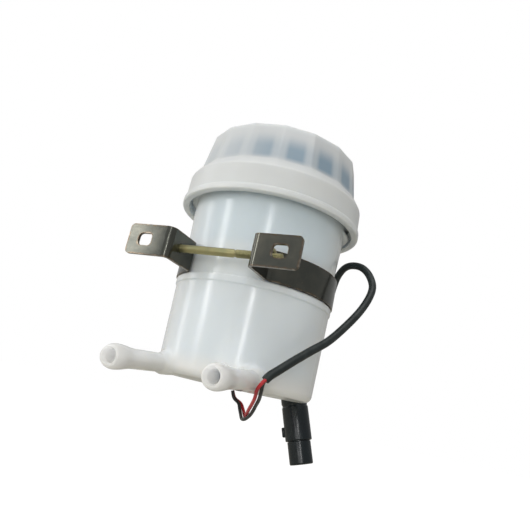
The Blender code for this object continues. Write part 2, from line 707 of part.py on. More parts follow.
def build_clamp_screw(bench, zinc):
    """The long bolt through the clamp's legs, with its nut and washers on the right."""
    along = (0, math.pi / 2, 0)
    outside = LEG_GAP / 2 + BAND_T + GAP
    washer_x = outside
    spring_x = washer_x + WASHER_T + GAP
    nut_x = spring_x + SPRING_T + GAP
    tail = nut_x + NUT_H + BOLT_TAIL
    root = outside + HEAD_H / 2
    shank = prism("clamp_bolt", ROUND_TINY, BOLT_R, BOLT_R, root + tail)
    line = {"parent": bench.axis, "rotation": along}
    bolt = bench.piece(shank, zinc, location=(-root, -BOLT_Y, BAND_Z), **line)
    hex_r = HEAD_FLATS / 2 / math.cos(math.pi / 6)
    head = prism("bolt_head", 6, hex_r, hex_r, HEAD_H)
    boolean(bolt, bench.tool(head, location=(-outside - HEAD_H, -BOLT_Y, BAND_Z), **line), "UNION")
    nut = prism("clamp_nut", 6, hex_r, hex_r, NUT_H)
    bench.piece(nut, zinc, location=(nut_x, -BOLT_Y, BAND_Z), **line)
    rings = [
        ("clamp_washer", WASHER_R, WASHER_T, washer_x),
        ("clamp_spring_washer", SPRING_R, SPRING_T, spring_x),
    ]
    made = [nut]
    for name, radius, thick, at in rings:
        disc = prism(name, ROUND_SMALL, radius, radius, thick)
        made.append(bench.piece(disc, zinc, location=(at, -BOLT_Y, BAND_Z), **line))
    clear = prism("screw_clearance", ROUND_TINY, BOLT_R + GAP, BOLT_R + GAP, tail)
    bench.tool(clear, location=(LEG_GAP / 2, -BOLT_Y, BAND_Z), **line)
    for ring in made:
        boolean(ring, clear, "DIFFERENCE")
    split = block("spring_split", (2 * SPRING_T, SPRING_SLOT, 2 * SPRING_R), (0, 0, SPRING_R))
    at = (spring_x + SPRING_T / 2, -BOLT_Y, BAND_Z)
    boolean(made[-1], bench.tool(split, location=at), "DIFFERENCE")


def about_tank(route):
    """A route with its front and its back moved out as far as the seat has grown."""
    growth = SEAT_R - ROUTE_SEAT_R
    return [(x, y + growth * max(-1, min(1, y / ROUTE_SEAT_R)), z) for x, y, z in route]


def smooth_route(route, spacing):
    """Evenly spaced points on the smooth curve through a route's own points."""
    points = [Vector(p) for p in route]
    ends = [2 * points[0] - points[1]] + points + [2 * points[-1] - points[-2]]
    fine = []
    for before, start, end, after in zip(ends, ends[1:], ends[2:], ends[3:]):
        for step in range(12):
            t = step / 12
            fine.append(0.5 * (
                2 * start + (end - before) * t
                + (2 * before - 5 * start + 4 * end - after) * t ** 2
                + (3 * start - before - 3 * end + after) * t ** 3
            ))
    fine.append(points[-1])
    lengths = [0.0]
    for a, b in zip(fine, fine[1:]):
        lengths.append(lengths[-1] + (b - a).length)
    count = max(2, round(lengths[-1] / spacing))
    placed, at = [], 0
    for step in range(count + 1):
        want = lengths[-1] * step / count
        while at < len(fine) - 2 and lengths[at + 1] < want:
            at += 1
        share = (want - lengths[at]) / (lengths[at + 1] - lengths[at])
        placed.append(fine[at].lerp(fine[at + 1], min(max(share, 0.0), 1.0)))
    return placed


def tube(name, points, radius):
    """A round cord along points, as a curve with capped ends."""
    curve = bpy.data.curves.new(name, "CURVE")
    curve.dimensions = "3D"
    curve.bevel_depth = radius
    curve.bevel_resolution = 2
    curve.use_fill_caps = True
    spline = curve.splines.new("POLY")
    spline.points.add(len(points) - 1)
    for slot, point in zip(spline.points, points):
        slot.co = (*point, 1.0)
    return bpy.data.objects.new(name, curve)


def side_by_side(points, shift):
    """The same route moved sideways by the given distance, changing sides with half a twist at its middle."""
    moved = []
    for index, point in enumerate(points):
        ahead = points[min(index + 1, len(points) - 1)] - points[max(index - 1, 0)]
        side = Vector((ahead.y, -ahead.x, 0))
        if side.length < 0.25 * ahead.length:
            side = Vector((1, 1, 0))
        share = (index / (len(points) - 1) - TWIST_START) / (TWIST_END - TWIST_START)
        twist = Matrix.Rotation(math.pi * max(0, min(1, share)), 3, ahead)
        moved.append(point + twist @ side.normalized() * shift)
    return moved


def build_lead(bench, red, black, sleeve):
    """The two wires from the plug to the sleeve, and the sleeve round the tank to the connector."""
    wires = smooth_route(about_tank(WIRE_ROUTE), 5 * WIRE_R)
    bench.piece(tube("lead_red", side_by_side(wires, -WIRE_SPREAD), WIRE_R), red)
    bench.piece(tube("lead_black", side_by_side(wires, WIRE_SPREAD), WIRE_R), black)
    run = smooth_route(about_tank(SLEEVE_ROUTE), 2.5 * SLEEVE_R)
    bench.piece(tube("lead_sleeve", run, SLEEVE_R), sleeve)


def build_connector(bench, shell, inner, rubber, metal):
    """The round two-way connector: housing with latch, nose, boot and two pins."""
    frame = bench.plug_axis
    edge = 0.1 * HOUSING_R
    step = HOUSING_LENGTH - HOUSING_BORE
    housing = [
        (BOOT_R - edge, 0.0),
        (HOUSING_R - 2 * edge, 0.0),
        (HOUSING_R, -2 * edge),
        (HOUSING_R, -HOUSING_LENGTH + edge),
        (HOUSING_R - edge, -HOUSING_LENGTH),
        (HOUSING_BORE_R, -HOUSING_LENGTH),
        (HOUSING_BORE_R, -step),
        (HOUSING_NECK_R, -step),
        (HOUSING_NECK_R, -BOOT_LENGTH / 2 - GAP),
        (BOOT_R - edge, -BOOT_LENGTH / 2 - GAP),
    ]
    body = bench.piece(turned("connector_housing", housing, ROUND_SMALL), shell, parent=frame)
    latch_z = -HOUSING_LENGTH + LATCH_LENGTH
    size = (2 * LATCH_PROUD, LATCH_W, LATCH_LENGTH)
    latch = block("latch", size, (-HOUSING_R, 0, latch_z))
    edges = latch.modifiers.new("latch edges", "BEVEL")
    edges.width = 0.4 * LATCH_PROUD
    edges.segments = 2
    boolean(body, bench.tool(latch, parent=frame), "UNION")
    top = -HOUSING_LENGTH + NOSE_SHANK
    low = -HOUSING_LENGTH - GAP - NOSE_OUT
    shank_r = HOUSING_BORE_R - GAP
    nose = [
        (0.0, top),
        (shank_r, top),
        (shank_r, -HOUSING_LENGTH - GAP),
        (NOSE_OUT_R, -HOUSING_LENGTH - GAP),
        (NOSE_OUT_R, low + edge),
        (NOSE_OUT_R - edge, low),
        (MOUTH_R, low),
        (MOUTH_R, low + MOUTH_DEPTH),
        (0.0, low + MOUTH_DEPTH),
    ]
    insert = bench.piece(turned("connector_nose", nose, ROUND_SMALL, closed=False), inner, parent=frame)
    pin_low = low + MOUTH_DEPTH - PIN_IN_MOUTH
    pin = [
        (0.0, top + GAP + BARREL),
        (BARREL_R, top + GAP + BARREL),
        (BARREL_R, top + GAP),
        (PIN_R, top + GAP),
        (PIN_R, pin_low + PIN_R),
        (PIN_R / 2, pin_low),
        (0.0, pin_low),
    ]
    for side, word in ((-1, "a"), (1, "b")):
        at = (0, side * PIN_SPREAD, 0)
        hole = prism(f"pin_hole_{word}", ROUND_TINY, PIN_R + GAP, PIN_R + GAP, NOSE_SHANK + NOSE_OUT)
        centre = (0, side * PIN_SPREAD, low + MOUTH_DEPTH / 2)
        boolean(insert, bench.tool(hole, parent=frame, location=centre), "DIFFERENCE")
        contact = turned(f"contact_{word}", pin, ROUND_TINY, closed=False)
        bench.piece(contact, metal, parent=frame, location=at)
    plug_r = BOOT_R - edge - GAP
    boot = [
        (0.0, BOOT_LENGTH),
        (SLEEVE_R + edge, BOOT_LENGTH),
        (BOOT_R, GAP + edge),
        (BOOT_R, GAP),
        (plug_r, GAP),
        (plug_r, -BOOT_LENGTH / 2),
        (0.0, -BOOT_LENGTH / 2),
    ]
    bench.piece(turned("connector_boot", boot, ROUND_SMALL, closed=False), rubber, parent=frame)


def main():
    """Builds every piece of the reservoir."""
    for obj in list(bpy.data.objects):
        bpy.data.objects.remove(obj, do_unlink=True)
    bench = Bench()
    milky = material("milky_plastic", (0.86, 0.89, 0.89), 0.35, alpha=0.75)
    cap_white = material("cap_plastic", (0.90, 0.91, 0.90), 0.35, alpha=0.85)
    rubber = material("black_rubber", (0.05, 0.06, 0.07), 0.7)
    diaphragm = material("diaphragm_rubber", (0.10, 0.13, 0.17), 0.6)
    white = material("white_plastic", (0.88, 0.88, 0.85), 0.5)
    foam = material("float_foam", (0.30, 0.22, 0.12), 0.8)
    ferrite = material("ferrite", (0.10, 0.10, 0.10), 0.6, 0.2)
    bright = material("bright_steel", (0.60, 0.60, 0.60), 0.3, 1.0)
    dark_steel = material("dark_steel", (0.16, 0.15, 0.13), 0.4, 0.9)
    zinc = material("yellow_zinc", (0.65, 0.55, 0.25), 0.35, 1.0)
    glass = material("reed_glass", (0.55, 0.70, 0.60), 0.1, alpha=0.6)
    red = material("red_wire", (0.62, 0.05, 0.05), 0.45)
    black = material("black_wire", (0.02, 0.02, 0.02), 0.45)
    sleeve = material("sleeve", (0.02, 0.03, 0.03), 0.4)
    shell = material("connector_plastic", (0.02, 0.02, 0.025), 0.25)
    tin = material("tinned_brass", (0.70, 0.68, 0.60), 0.3, 1.0)
    build_tank(bench, milky)
    build_cap(bench, cap_white)
    build_seal(bench, diaphragm, white)
    build_strainer(bench, white)
    build_float(bench, foam, ferrite, bright)
    build_switch(bench, white, glass, rubber)
    build_band(bench, dark_steel)
    build_clamp_screw(bench, zinc)
    build_lead(bench, red, black, sleeve)
    build_connector(bench, shell, shell, rubber, tin)


main()
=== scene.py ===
"""Looks of a remote brake fluid reservoir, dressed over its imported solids.

Everything is in metres in the part's own frame: +Z up along the tank's axis, the origin midway between the
clamp's tab slots. Each sub-assembly is a class that holds its sizes and builds and dresses its own pieces.
"""

from __future__ import annotations

import logging
import math
from abc import ABC, abstractmethod
from dataclasses import dataclass, field
from enum import Enum
from typing import Callable, Sequence

import bmesh
import bpy
import numpy as np
from mathutils import Matrix, Vector

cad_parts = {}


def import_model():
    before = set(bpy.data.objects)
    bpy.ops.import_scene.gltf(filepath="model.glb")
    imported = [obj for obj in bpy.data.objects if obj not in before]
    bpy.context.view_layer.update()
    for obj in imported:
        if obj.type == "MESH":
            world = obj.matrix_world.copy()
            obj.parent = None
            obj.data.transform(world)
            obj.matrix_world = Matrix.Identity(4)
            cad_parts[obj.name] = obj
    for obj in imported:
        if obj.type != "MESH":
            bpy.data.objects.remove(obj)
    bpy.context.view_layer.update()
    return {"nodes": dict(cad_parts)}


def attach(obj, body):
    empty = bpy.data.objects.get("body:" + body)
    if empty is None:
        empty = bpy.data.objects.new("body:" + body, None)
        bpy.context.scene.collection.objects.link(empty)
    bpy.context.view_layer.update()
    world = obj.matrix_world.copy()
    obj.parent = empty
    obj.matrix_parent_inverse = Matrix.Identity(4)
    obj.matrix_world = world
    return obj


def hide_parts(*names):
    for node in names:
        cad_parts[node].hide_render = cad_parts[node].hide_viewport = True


LOG = logging.getLogger("reservoir")

Colour = tuple[float, float, float]
Flat = tuple[float, float]
Corner = tuple[float, float, float]
Place = tuple[float, float, float]
Heights = tuple[float, float, float, float]
Socket = bpy.types.NodeSocket
Piece = bpy.types.Object
Array = np.ndarray
Rings = tuple[Array, Array]
Warp = Callable[[Array, Array, Array], Rings]

FOOT = Vector((0.0, 0.0540, -0.0522))
TANK_PLACE = Matrix.Translation(FOOT)
PHOTO_PIXELS = 530
SENSOR_WIDTH = 36.0

# How far a cutter runs past what it cuts, the steps of a route's curve between two of its own points, and the
# facets of turned pieces and of drilled holes.
PAST = 0.002
CURVE_STEPS = 12
LARGE_ROUND = 96
SMALL_ROUND = 64
HOLE_ROUND = 32


class Body(str, Enum):
    """The bodies that the scene's own pieces ride on. The float's pieces are the frame's, and stay on its body."""

    RESERVOIR = "reservoir"
    SEAL = "seal"
    CAP = "cap"


class Carving(str, Enum):
    """What a tool does to the piece that it meets."""

    CUT = "DIFFERENCE"
    JOIN = "UNION"


class Solver(str, Enum):
    """How a carving is worked out: quickly on closed meshes, or exactly."""

    QUICK = "MANIFOLD"
    EXACT = "EXACT"


class Axis(str, Enum):
    """An axis of the part's frame."""

    X = "X"
    Y = "Y"
    Z = "Z"


class Sum(str, Enum):
    """The sums that the finishes work out."""

    ADD = "ADD"
    SUBTRACT = "SUBTRACT"
    MULTIPLY = "MULTIPLY"
    MINIMUM = "MINIMUM"
    MAXIMUM = "MAXIMUM"
    ABSOLUTE = "ABSOLUTE"
    GREATER_THAN = "GREATER_THAN"
    SQRT = "SQRT"
    COSINE = "COSINE"
    ARCTAN2 = "ARCTAN2"


# Shading


class Recipe:
    """A material's node tree, with a short call for each kind of node that the finishes use."""

    def __init__(self, name: str) -> None:
        """Starts a material with an output and a Principled shader.

        Args:
            name: the material's name.
        """
        self.material = bpy.data.materials.new(name)
        self.material.use_nodes = True
        self.nodes = self.material.node_tree.nodes
        self.links = self.material.node_tree.links
        self.nodes.clear()
        output = self.nodes.new("ShaderNodeOutputMaterial")
        self.skin = self.nodes.new("ShaderNodeBsdfPrincipled")
        self.links.new(self.skin.outputs[0], output.inputs["Surface"])
        self.coordinates = self.nodes.new("ShaderNodeTexCoord").outputs["Object"]

    def feed(self, target: Socket, value: object) -> None:
        """Links a socket into a target, or sets the target to a constant.

        Args:
            target: the input to fill.
            value: an output socket, a number or a tuple.
        """
        if isinstance(value, Socket):
            self.links.new(value, target)
        else:
            target.default_value = value

    def fill(self, node: bpy.types.Node, **values: object) -> bpy.types.Node:
        """Fills a node's sockets, their names written with underscores for spaces.

        Args:
            node: the node.
            values: socket name to constant or output socket.

        Returns:
            The node.
        """
        for name, value in values.items():
            self.feed(node.inputs[name.replace("_", " ")], value)
        return node

    def skin_values(self, **values: object) -> None:
        """Fills the shader's sockets."""
        self.fill(self.skin, **values)

    def stretched(self, scale: Place) -> Socket:
        """Returns object coordinates scaled along each axis.

        Args:
            scale: the factors along X, Y and Z.

        Returns:
            The scaled vector.
        """
        node = self.nodes.new("ShaderNodeVectorMath")
        node.operation = "MULTIPLY"
        self.links.new(self.coordinates, node.inputs[0])
        node.inputs[1].default_value = scale
        return node.outputs[0]

    def noise(self, scale: float, detail: float = 4.0, rough: float = 0.55,
              vector: Socket | None = None) -> Socket:
        """Returns a noise value about 0.5.

        Args:
            scale: features per metre.
            detail: octaves.
            rough: how strong the fine octaves are.
            vector: coordinates, or None for object coordinates.

        Returns:
            The noise's factor.
        """
        node = self.nodes.new("ShaderNodeTexNoise")
        self.fill(node, Scale=scale, Detail=detail, Roughness=rough, Vector=vector or self.coordinates)
        return node.outputs[0]

    def cells(self, scale: float) -> Socket:
        """Returns the distance to the nearest cell's middle, in cells, with so many cells to the metre."""
        node = self.fill(self.nodes.new("ShaderNodeTexVoronoi"), Scale=scale, Vector=self.coordinates)
        return node.outputs["Distance"]

    def axis(self, axis: Axis) -> Socket:
        """Returns one object coordinate, in metres."""
        node = self.fill(self.nodes.new("ShaderNodeSeparateXYZ"), Vector=self.coordinates)
        return node.outputs[axis.value]

    def math(self, operation: Sum, first: object, second: object = 0.0) -> Socket:
        """Returns the result of a sum.

        Args:
            operation: which sum.
            first: a number or a socket.
            second: a number or a socket.

        Returns:
            The result.
        """
        node = self.nodes.new("ShaderNodeMath")
        node.operation = operation.value
        self.feed(node.inputs[0], first)
        self.feed(node.inputs[1], second)
        return node.outputs[0]

    def span(self, value: object, start: float, end: float, low: float = 0.0,
             high: float = 1.0) -> Socket:
        """Returns a value carried smoothly from one span to another.

        Args:
            value: the socket to carry.
            start: the value that gives low.
            end: the value that gives high.
            low: the result at start.
            high: the result at end.

        Returns:
            The carried value.
        """
        node = self.nodes.new("ShaderNodeMapRange")
        node.interpolation_type = "SMOOTHSTEP"
        self.fill(node, Value=value, From_Min=start, From_Max=end, To_Min=low, To_Max=high)
        return node.outputs[0]

    def plateau(self, value: object, edges: Heights) -> Socket:
        """Returns 1 between the middle two of four values, falling smoothly to 0 at the outer two.

        Args:
            value: the socket to carry.
            edges: the four values, from low to high.

        Returns:
            The share.
        """
        rise = self.span(value, edges[0], edges[1])
        fall = self.span(value, edges[2], edges[3], 1.0, 0.0)
        return self.math(Sum.MULTIPLY, rise, fall)

    def mixed(self, share: object, first: object, second: object) -> Socket:
        """Returns a colour between two.

        Args:
            share: 0 for the first colour, 1 for the second.
            first: a colour or a socket.
            second: a colour or a socket.

        Returns:
            The mixed colour.
        """
        node = self.nodes.new("ShaderNodeMix")
        node.data_type = "RGBA"
        self.feed(node.inputs[0], share)
        for slot, value in ((node.inputs[6], first), (node.inputs[7], second)):
            self.feed(slot, (*value, 1.0) if isinstance(value, tuple) else value)
        return node.outputs[2]

    def bumped(self, height: Socket, distance: float, strength: float = 1.0) -> None:
        """Adds a bump to the skin, on top of one that is there.

        Args:
            height: the height, 0 to 1.
            distance: how far 1 stands out, in metres.
            strength: the bump's strength.
        """
        node = self.nodes.new("ShaderNodeBump")
        self.fill(node, Strength=strength, Distance=distance, Height=height)
        normal = self.skin.inputs["Normal"]
        if normal.is_linked:
            self.links.new(normal.links[0].from_socket, node.inputs["Normal"])
        self.links.new(node.outputs[0], normal)


def dimmed(tone: Colour, share: float) -> Colour:
    """Returns a colour at a share of its brightness."""
    return tuple(share * part for part in tone)


@dataclass(frozen=True)
class Finish(ABC):
    """A finish that turns into one material."""

    name: str

    @abstractmethod
    def mix(self, recipe: Recipe) -> None:
        """Fills the recipe's nodes."""

    def material(self) -> bpy.types.Material:
        """Returns the finish's material, made on first use.

        Returns:
            The material.
        """
        made = bpy.data.materials.get(f"look_{self.name}")
        if made is None:
            recipe = Recipe(f"look_{self.name}")
            self.mix(recipe)
            made = recipe.material
        return made


@dataclass(frozen=True)
class MilkyPlastic(Finish):
    """Translucent moulded polypropylene, whiter where its wall is thick, with a darker, bluer painted shade where the
    hollow behind the wall shows through.
    """

    # the painted shade where the hollow behind the wall shows through
    see_through_shade: Colour
    thick: Colour
    depth: float
    roughness: float
    hollow: Heights
    streaks: Colour = (0.93, 0.93, 0.92)

    def painted_shade_facing(self, recipe: Recipe) -> Socket:
        """Returns 1 where the wall is seen square on, where the painted see-through shade is strongest, down to 0.35
        at its edges.

        Args:
            recipe: the material's recipe.

        Returns:
            The share.
        """
        weight = recipe.nodes.new("ShaderNodeLayerWeight")
        return recipe.span(weight.outputs["Facing"], 0.25, 0.95, 1.0, 0.35)

    def wall(self, recipe: Recipe, see_through_shade: object) -> Socket:
        """Returns the wall's tone: thick, but for a clouded tone of painted shade where the wall is hollow behind.

        Args:
            recipe: the material's recipe.
            see_through_shade: the colour or socket of the painted shade where the hollow shows through.

        Returns:
            The tone.
        """
        cloud = recipe.span(recipe.noise(22.0, 2.0), 0.25, 0.75, 0.86, 1.0)
        # painted shade: the hollow behind the wall shows as a darker, bluer tone, strongest where the wall faces the
        # viewer
        hollow = recipe.plateau(recipe.axis(Axis.Z), self.hollow)
        hollow = recipe.math(Sum.MULTIPLY, hollow, self.painted_shade_facing(recipe))
        return recipe.mixed(recipe.math(Sum.MULTIPLY, hollow, cloud), self.thick, see_through_shade)

    def streaked(self, recipe: Recipe, tone: Socket) -> Socket:
        """Returns a tone with faint upright streaks, where the plastic flowed into its mould.

        Args:
            recipe: the material's recipe.
            tone: the tone without them.

        Returns:
            The streaked tone.
        """
        flow = recipe.noise(70.0, 3.0, vector=recipe.stretched((1.0, 1.0, 0.25)))
        return recipe.mixed(recipe.span(flow, 0.30, 0.78, 0.0, 0.05), tone, self.streaks)

    def mould(self, recipe: Recipe, tone: Socket, depth: object) -> None:
        """Fills the shader with translucent plastic that has a faintly uneven skin.

        Args:
            recipe: the material's recipe.
            tone: the plastic's tone.
            depth: how far light runs in it, a number or a socket.
        """
        recipe.skin_values(
            Base_Color=tone,
            Roughness=recipe.span(recipe.noise(130.0, 3.0), 0.2, 0.8, self.roughness - 0.03, self.roughness + 0.05),
            IOR=1.49,
            Subsurface_Weight=0.85,
            Subsurface_Radius=(1.0, 1.05, 1.15),
            Subsurface_Scale=depth,
        )
        recipe.bumped(recipe.noise(48.0, 1.0), 0.00030, 0.30)


@dataclass(frozen=True)
class TankPlastic(MilkyPlastic):
    """The tank's plastic: its painted see-through shade is bluer up the neck, and the spouts are painted whiter for
    light shining through them; their mouths let light in deeper.
    """

    see_through_shade: Colour = (0.760, 0.820, 0.865)
    thick: Colour = (0.84, 0.845, 0.83)
    depth: float = 0.0030
    roughness: float = 0.18
    hollow: Heights = (-0.0500, -0.0400, 0.0300, 0.0410)
    # painted shade: a bluer see-through tone up the neck
    neck: Colour = (0.69, 0.79, 0.87)
    neck_shade_rise: Flat = (0.004, 0.012)
    # painted light: a whiter tone along the spouts, for light shining through their walls into the bores
    spout: Colour = (0.97, 0.97, 0.96)
    spout_light_fade: Flat = (0.0135, -0.0020)
    mouth_depth: float = 0.0160
    mouth_fade: Flat = (-0.0020, -0.0070)

    def mix(self, recipe: Recipe) -> None:
        """Blends the neck's bluer painted shade and the spouts' whiter painted light into the wall's tone.

        Args:
            recipe: the material's recipe.
        """
        front = recipe.axis(Axis.Y)
        # painted see-through shade, bluer up the neck
        see_through_shade = recipe.mixed(recipe.span(recipe.axis(Axis.Z), *self.neck_shade_rise), self.see_through_shade, self.neck)
        # painted light: whiter along the spouts
        tone = recipe.mixed(recipe.span(front, *self.spout_light_fade), self.wall(recipe, see_through_shade), self.spout)
        depth = recipe.span(front, *self.mouth_fade, self.depth, self.mouth_depth)
        self.mould(recipe, self.streaked(recipe, tone), depth)


@dataclass(frozen=True)
class CapPlastic(MilkyPlastic):
    """The cap's plastic, with the blue of the rubber behind it painted on as see-through shade in the middle of the
    grip's facets, weaker on the left, where the light washes it out.
    """

    see_through_shade: Colour = (0.61, 0.63, 0.64)
    thick: Colour = (0.69, 0.71, 0.71)
    depth: float = 0.0042
    roughness: float = 0.32
    hollow: Heights = (0.0440, 0.0500, 0.0640, 0.0690)
    # painted shade: the rubber seen through the grip, as a band of colour, weaker on the left where the light falls
    rubber_shade: Colour = (0.27, 0.36, 0.44)
    rubber_shade_band: Heights = (0.0475, 0.0510, 0.0545, 0.0640)
    rubber_shade_side: Flat = (-0.018, 0.022)
    rubber_shade_least: float = 0.22
    # the share by which the thicker corners between the facets are painted lighter
    corner_light: float = 0.22
    corners: int = 16
    corner_phase: float = math.radians(-2.0)

    def flats(self, recipe: Recipe) -> Socket:
        """Returns 1 in the middle of each facet, where the wall is thinnest and the painted rubber shade shows most,
        down to 0.5 at its corners.

        Args:
            recipe: the material's recipe.

        Returns:
            The share.
        """
        from_axis = recipe.math(Sum.SUBTRACT, recipe.axis(Axis.Y), FOOT.y)
        angle = recipe.math(Sum.ARCTAN2, from_axis, recipe.axis(Axis.X))
        turn = recipe.math(Sum.MULTIPLY, recipe.math(Sum.SUBTRACT, angle, self.corner_phase), float(self.corners))
        return recipe.span(recipe.math(Sum.COSINE, turn), -0.35, 0.75, 1.0, 0.50)

    def mix(self, recipe: Recipe) -> None:
        """Paints the rubber's see-through shade on the facets, weaker on the left where the light falls, and paints
        the corners between them lighter.

        Args:
            recipe: the material's recipe.
        """
        height, flat = recipe.axis(Axis.Z), self.flats(recipe)
        # painted shade: less of the rubber's shade on the left side, where the light washes it out
        side = recipe.span(recipe.axis(Axis.X), *self.rubber_shade_side, self.rubber_shade_least, 1.0)
        share = recipe.math(Sum.MULTIPLY, recipe.plateau(height, self.rubber_shade_band), side)
        tone = self.streaked(recipe, self.wall(recipe, self.see_through_shade))
        tone = recipe.mixed(recipe.math(Sum.MULTIPLY, share, flat), tone, self.rubber_shade)
        # painted: the corners lightened toward the thick tone, where less of the rubber's shade shows
        rise = recipe.span(height, *self.rubber_shade_band[:2], 0.0, self.corner_light)
        corner = recipe.math(Sum.SUBTRACT, 1.0, flat)
        self.mould(recipe, recipe.mixed(recipe.math(Sum.MULTIPLY, rise, corner), tone, self.thick), self.depth)


@dataclass(frozen=True)
class MouldedWhite(Finish):
    """Opaque white moulded plastic for the pieces inside."""

    tone: Colour = (0.84, 0.84, 0.80)
    yellowed: Colour = (0.88, 0.87, 0.81)

    def mix(self, recipe: Recipe) -> None:
        """Gives a slightly yellowed white with a fine spark-eroded skin.

        Args:
            recipe: the material's recipe.
        """
        blotch = recipe.span(recipe.noise(60.0), 0.3, 0.7)
        recipe.skin_values(
            Base_Color=recipe.mixed(blotch, self.tone, self.yellowed),
            Roughness=0.5,
            Subsurface_Weight=0.2,
            Subsurface_Scale=0.001,
        )
        recipe.bumped(recipe.noise(1800.0, 2.0), 0.00002, 0.5)


@dataclass(frozen=True)
class Rubber(Finish):
    """Moulded rubber with a dusty bloom."""

    tone: Colour = (0.045, 0.055, 0.065)
    bloom: Colour = (0.11, 0.12, 0.13)
    roughness: float = 0.62

    def mix(self, recipe: Recipe) -> None:
        """Mixes the bloom in by noise and adds a matt grain.

        Args:
            recipe: the material's recipe.
        """
        dust = recipe.span(recipe.noise(120.0, 6.0), 0.42, 0.75)
        recipe.skin_values(
            Base_Color=recipe.mixed(dust, self.tone, self.bloom),
            Roughness=recipe.span(recipe.noise(300.0), 0.2, 0.8, self.roughness - 0.08, self.roughness + 0.12),
        )
        recipe.bumped(recipe.noise(2600.0, 2.0), 0.00003, 0.5)


@dataclass(frozen=True)
class Foam(Finish):
    """Closed-cell foam, with its skin of small cells."""

    # the painted shade in the cells' hollows, and the tone of the cell walls
    hollow: Colour = (0.24, 0.17, 0.09)
    wall: Colour = (0.40, 0.30, 0.18)

    def mix(self, recipe: Recipe) -> None:
        """Paints shade into the cells' hollows and dents them.

        Args:
            recipe: the material's recipe.
        """
        cell = recipe.cells(1500.0)
        recipe.skin_values(
            # painted shade: darker in the cells' hollows
            Base_Color=recipe.mixed(recipe.span(cell, 0.1, 0.7), self.hollow, self.wall),
            Roughness=0.85,
        )
        recipe.bumped(cell, 0.00012, 0.7)


@dataclass(frozen=True)
class Ferrite(Finish):
    """Ground sintered ferrite."""

    tone: Colour = (0.06, 0.06, 0.065)
    ground: Colour = (0.14, 0.14, 0.14)

    def mix(self, recipe: Recipe) -> None:
        """Gives a dark grey with grinding marks.

        Args:
            recipe: the material's recipe.
        """
        grind = recipe.noise(500.0, 3.0, vector=recipe.stretched((6.0, 0.4, 1.0)))
        recipe.skin_values(
            Base_Color=recipe.mixed(recipe.span(grind, 0.3, 0.7), self.tone, self.ground),
            Roughness=0.5,
            Metallic=0.3,
        )
        recipe.bumped(grind, 0.00002, 0.5)


@dataclass(frozen=True)
class BluedSteel(Finish):
    """Dark blued strip steel: mottled oxide, with its cut edges and bends rubbed through to brown and bare metal."""

    oxide: Colour = (0.078, 0.082, 0.072)
    mottled: Colour = (0.118, 0.116, 0.096)
    brown: Colour = (0.115, 0.082, 0.055)
    bare: Colour = (0.34, 0.31, 0.25)
    half_width: float = 0.0069
    tab_end: float = 0.04045
    slot_x: float = 0.03165
    slot_across: float = 0.0016
    slot_up: float = 0.0010
    slot_round: float = 0.0018
    tab_back: float = 0.0017

    def edge_distance(self, recipe: Recipe) -> Socket:
        """Returns the distance from the strip's nearest cut edge, in metres.

        Args:
            recipe: the material's recipe.

        Returns:
            The distance.
        """
        height = recipe.math(Sum.ABSOLUTE, recipe.axis(Axis.Z))
        across = recipe.math(Sum.ABSOLUTE, recipe.axis(Axis.X))
        long_edge = recipe.math(Sum.SUBTRACT, self.half_width, height)
        tab_edge = recipe.math(Sum.SUBTRACT, self.tab_end, across)
        beside = recipe.math(Sum.SUBTRACT, recipe.math(Sum.ABSOLUTE, recipe.math(Sum.SUBTRACT, across, self.slot_x)),
                             self.slot_across)
        beside = recipe.math(Sum.MAXIMUM, beside, 0.0)
        above = recipe.math(Sum.MAXIMUM, recipe.math(Sum.SUBTRACT, height, self.slot_up), 0.0)
        reach = recipe.math(Sum.SQRT, recipe.math(Sum.ADD, recipe.math(Sum.MULTIPLY, beside, beside),
                                                recipe.math(Sum.MULTIPLY, above, above)))
        slot_edge = recipe.math(Sum.SUBTRACT, reach, self.slot_round)
        off_tab = recipe.math(Sum.GREATER_THAN, recipe.axis(Axis.Y), self.tab_back)
        slot_edge = recipe.math(Sum.ADD, slot_edge, off_tab)
        return recipe.math(Sum.MINIMUM, recipe.math(Sum.MINIMUM, long_edge, tab_edge), slot_edge)

    def mix(self, recipe: Recipe) -> None:
        """Lays brown and bare metal along the edges, broken up by noise, over mottled oxide.

        Args:
            recipe: the material's recipe.
        """
        ragged = recipe.span(recipe.noise(420.0, 5.0, 0.65), 0.3, 0.7, -0.00035, 0.00055)
        edge = recipe.math(Sum.ADD, self.edge_distance(recipe), ragged)
        rubbed = recipe.span(edge, 0.00085, 0.00015)
        worn = recipe.span(edge, 0.00030, -0.00010, 0.0, 0.55)
        mottle = recipe.span(recipe.noise(75.0, 6.0, 0.6), 0.36, 0.72)
        rust = recipe.span(recipe.noise(240.0, 6.0, 0.7), 0.62, 0.80, 0.0, 0.35)
        base = recipe.mixed(mottle, self.oxide, self.mottled)
        base = recipe.mixed(rust, base, self.brown)
        base = recipe.mixed(rubbed, base, self.brown)
        base = recipe.mixed(worn, base, self.bare)
        rolled = recipe.noise(240.0, 4.0, vector=recipe.stretched((0.5, 0.5, 3.0)))
        smooth = recipe.span(rolled, 0.25, 0.75, 0.18, 0.24)
        recipe.skin_values(
            Base_Color=base,
            Metallic=0.85,
            Roughness=recipe.math(Sum.ADD, smooth, recipe.math(Sum.MULTIPLY, rust, 0.35)),
        )
        recipe.bumped(rolled, 0.00002, 0.12)
        recipe.bumped(recipe.noise(900.0, 3.0), 0.00002, 0.4)


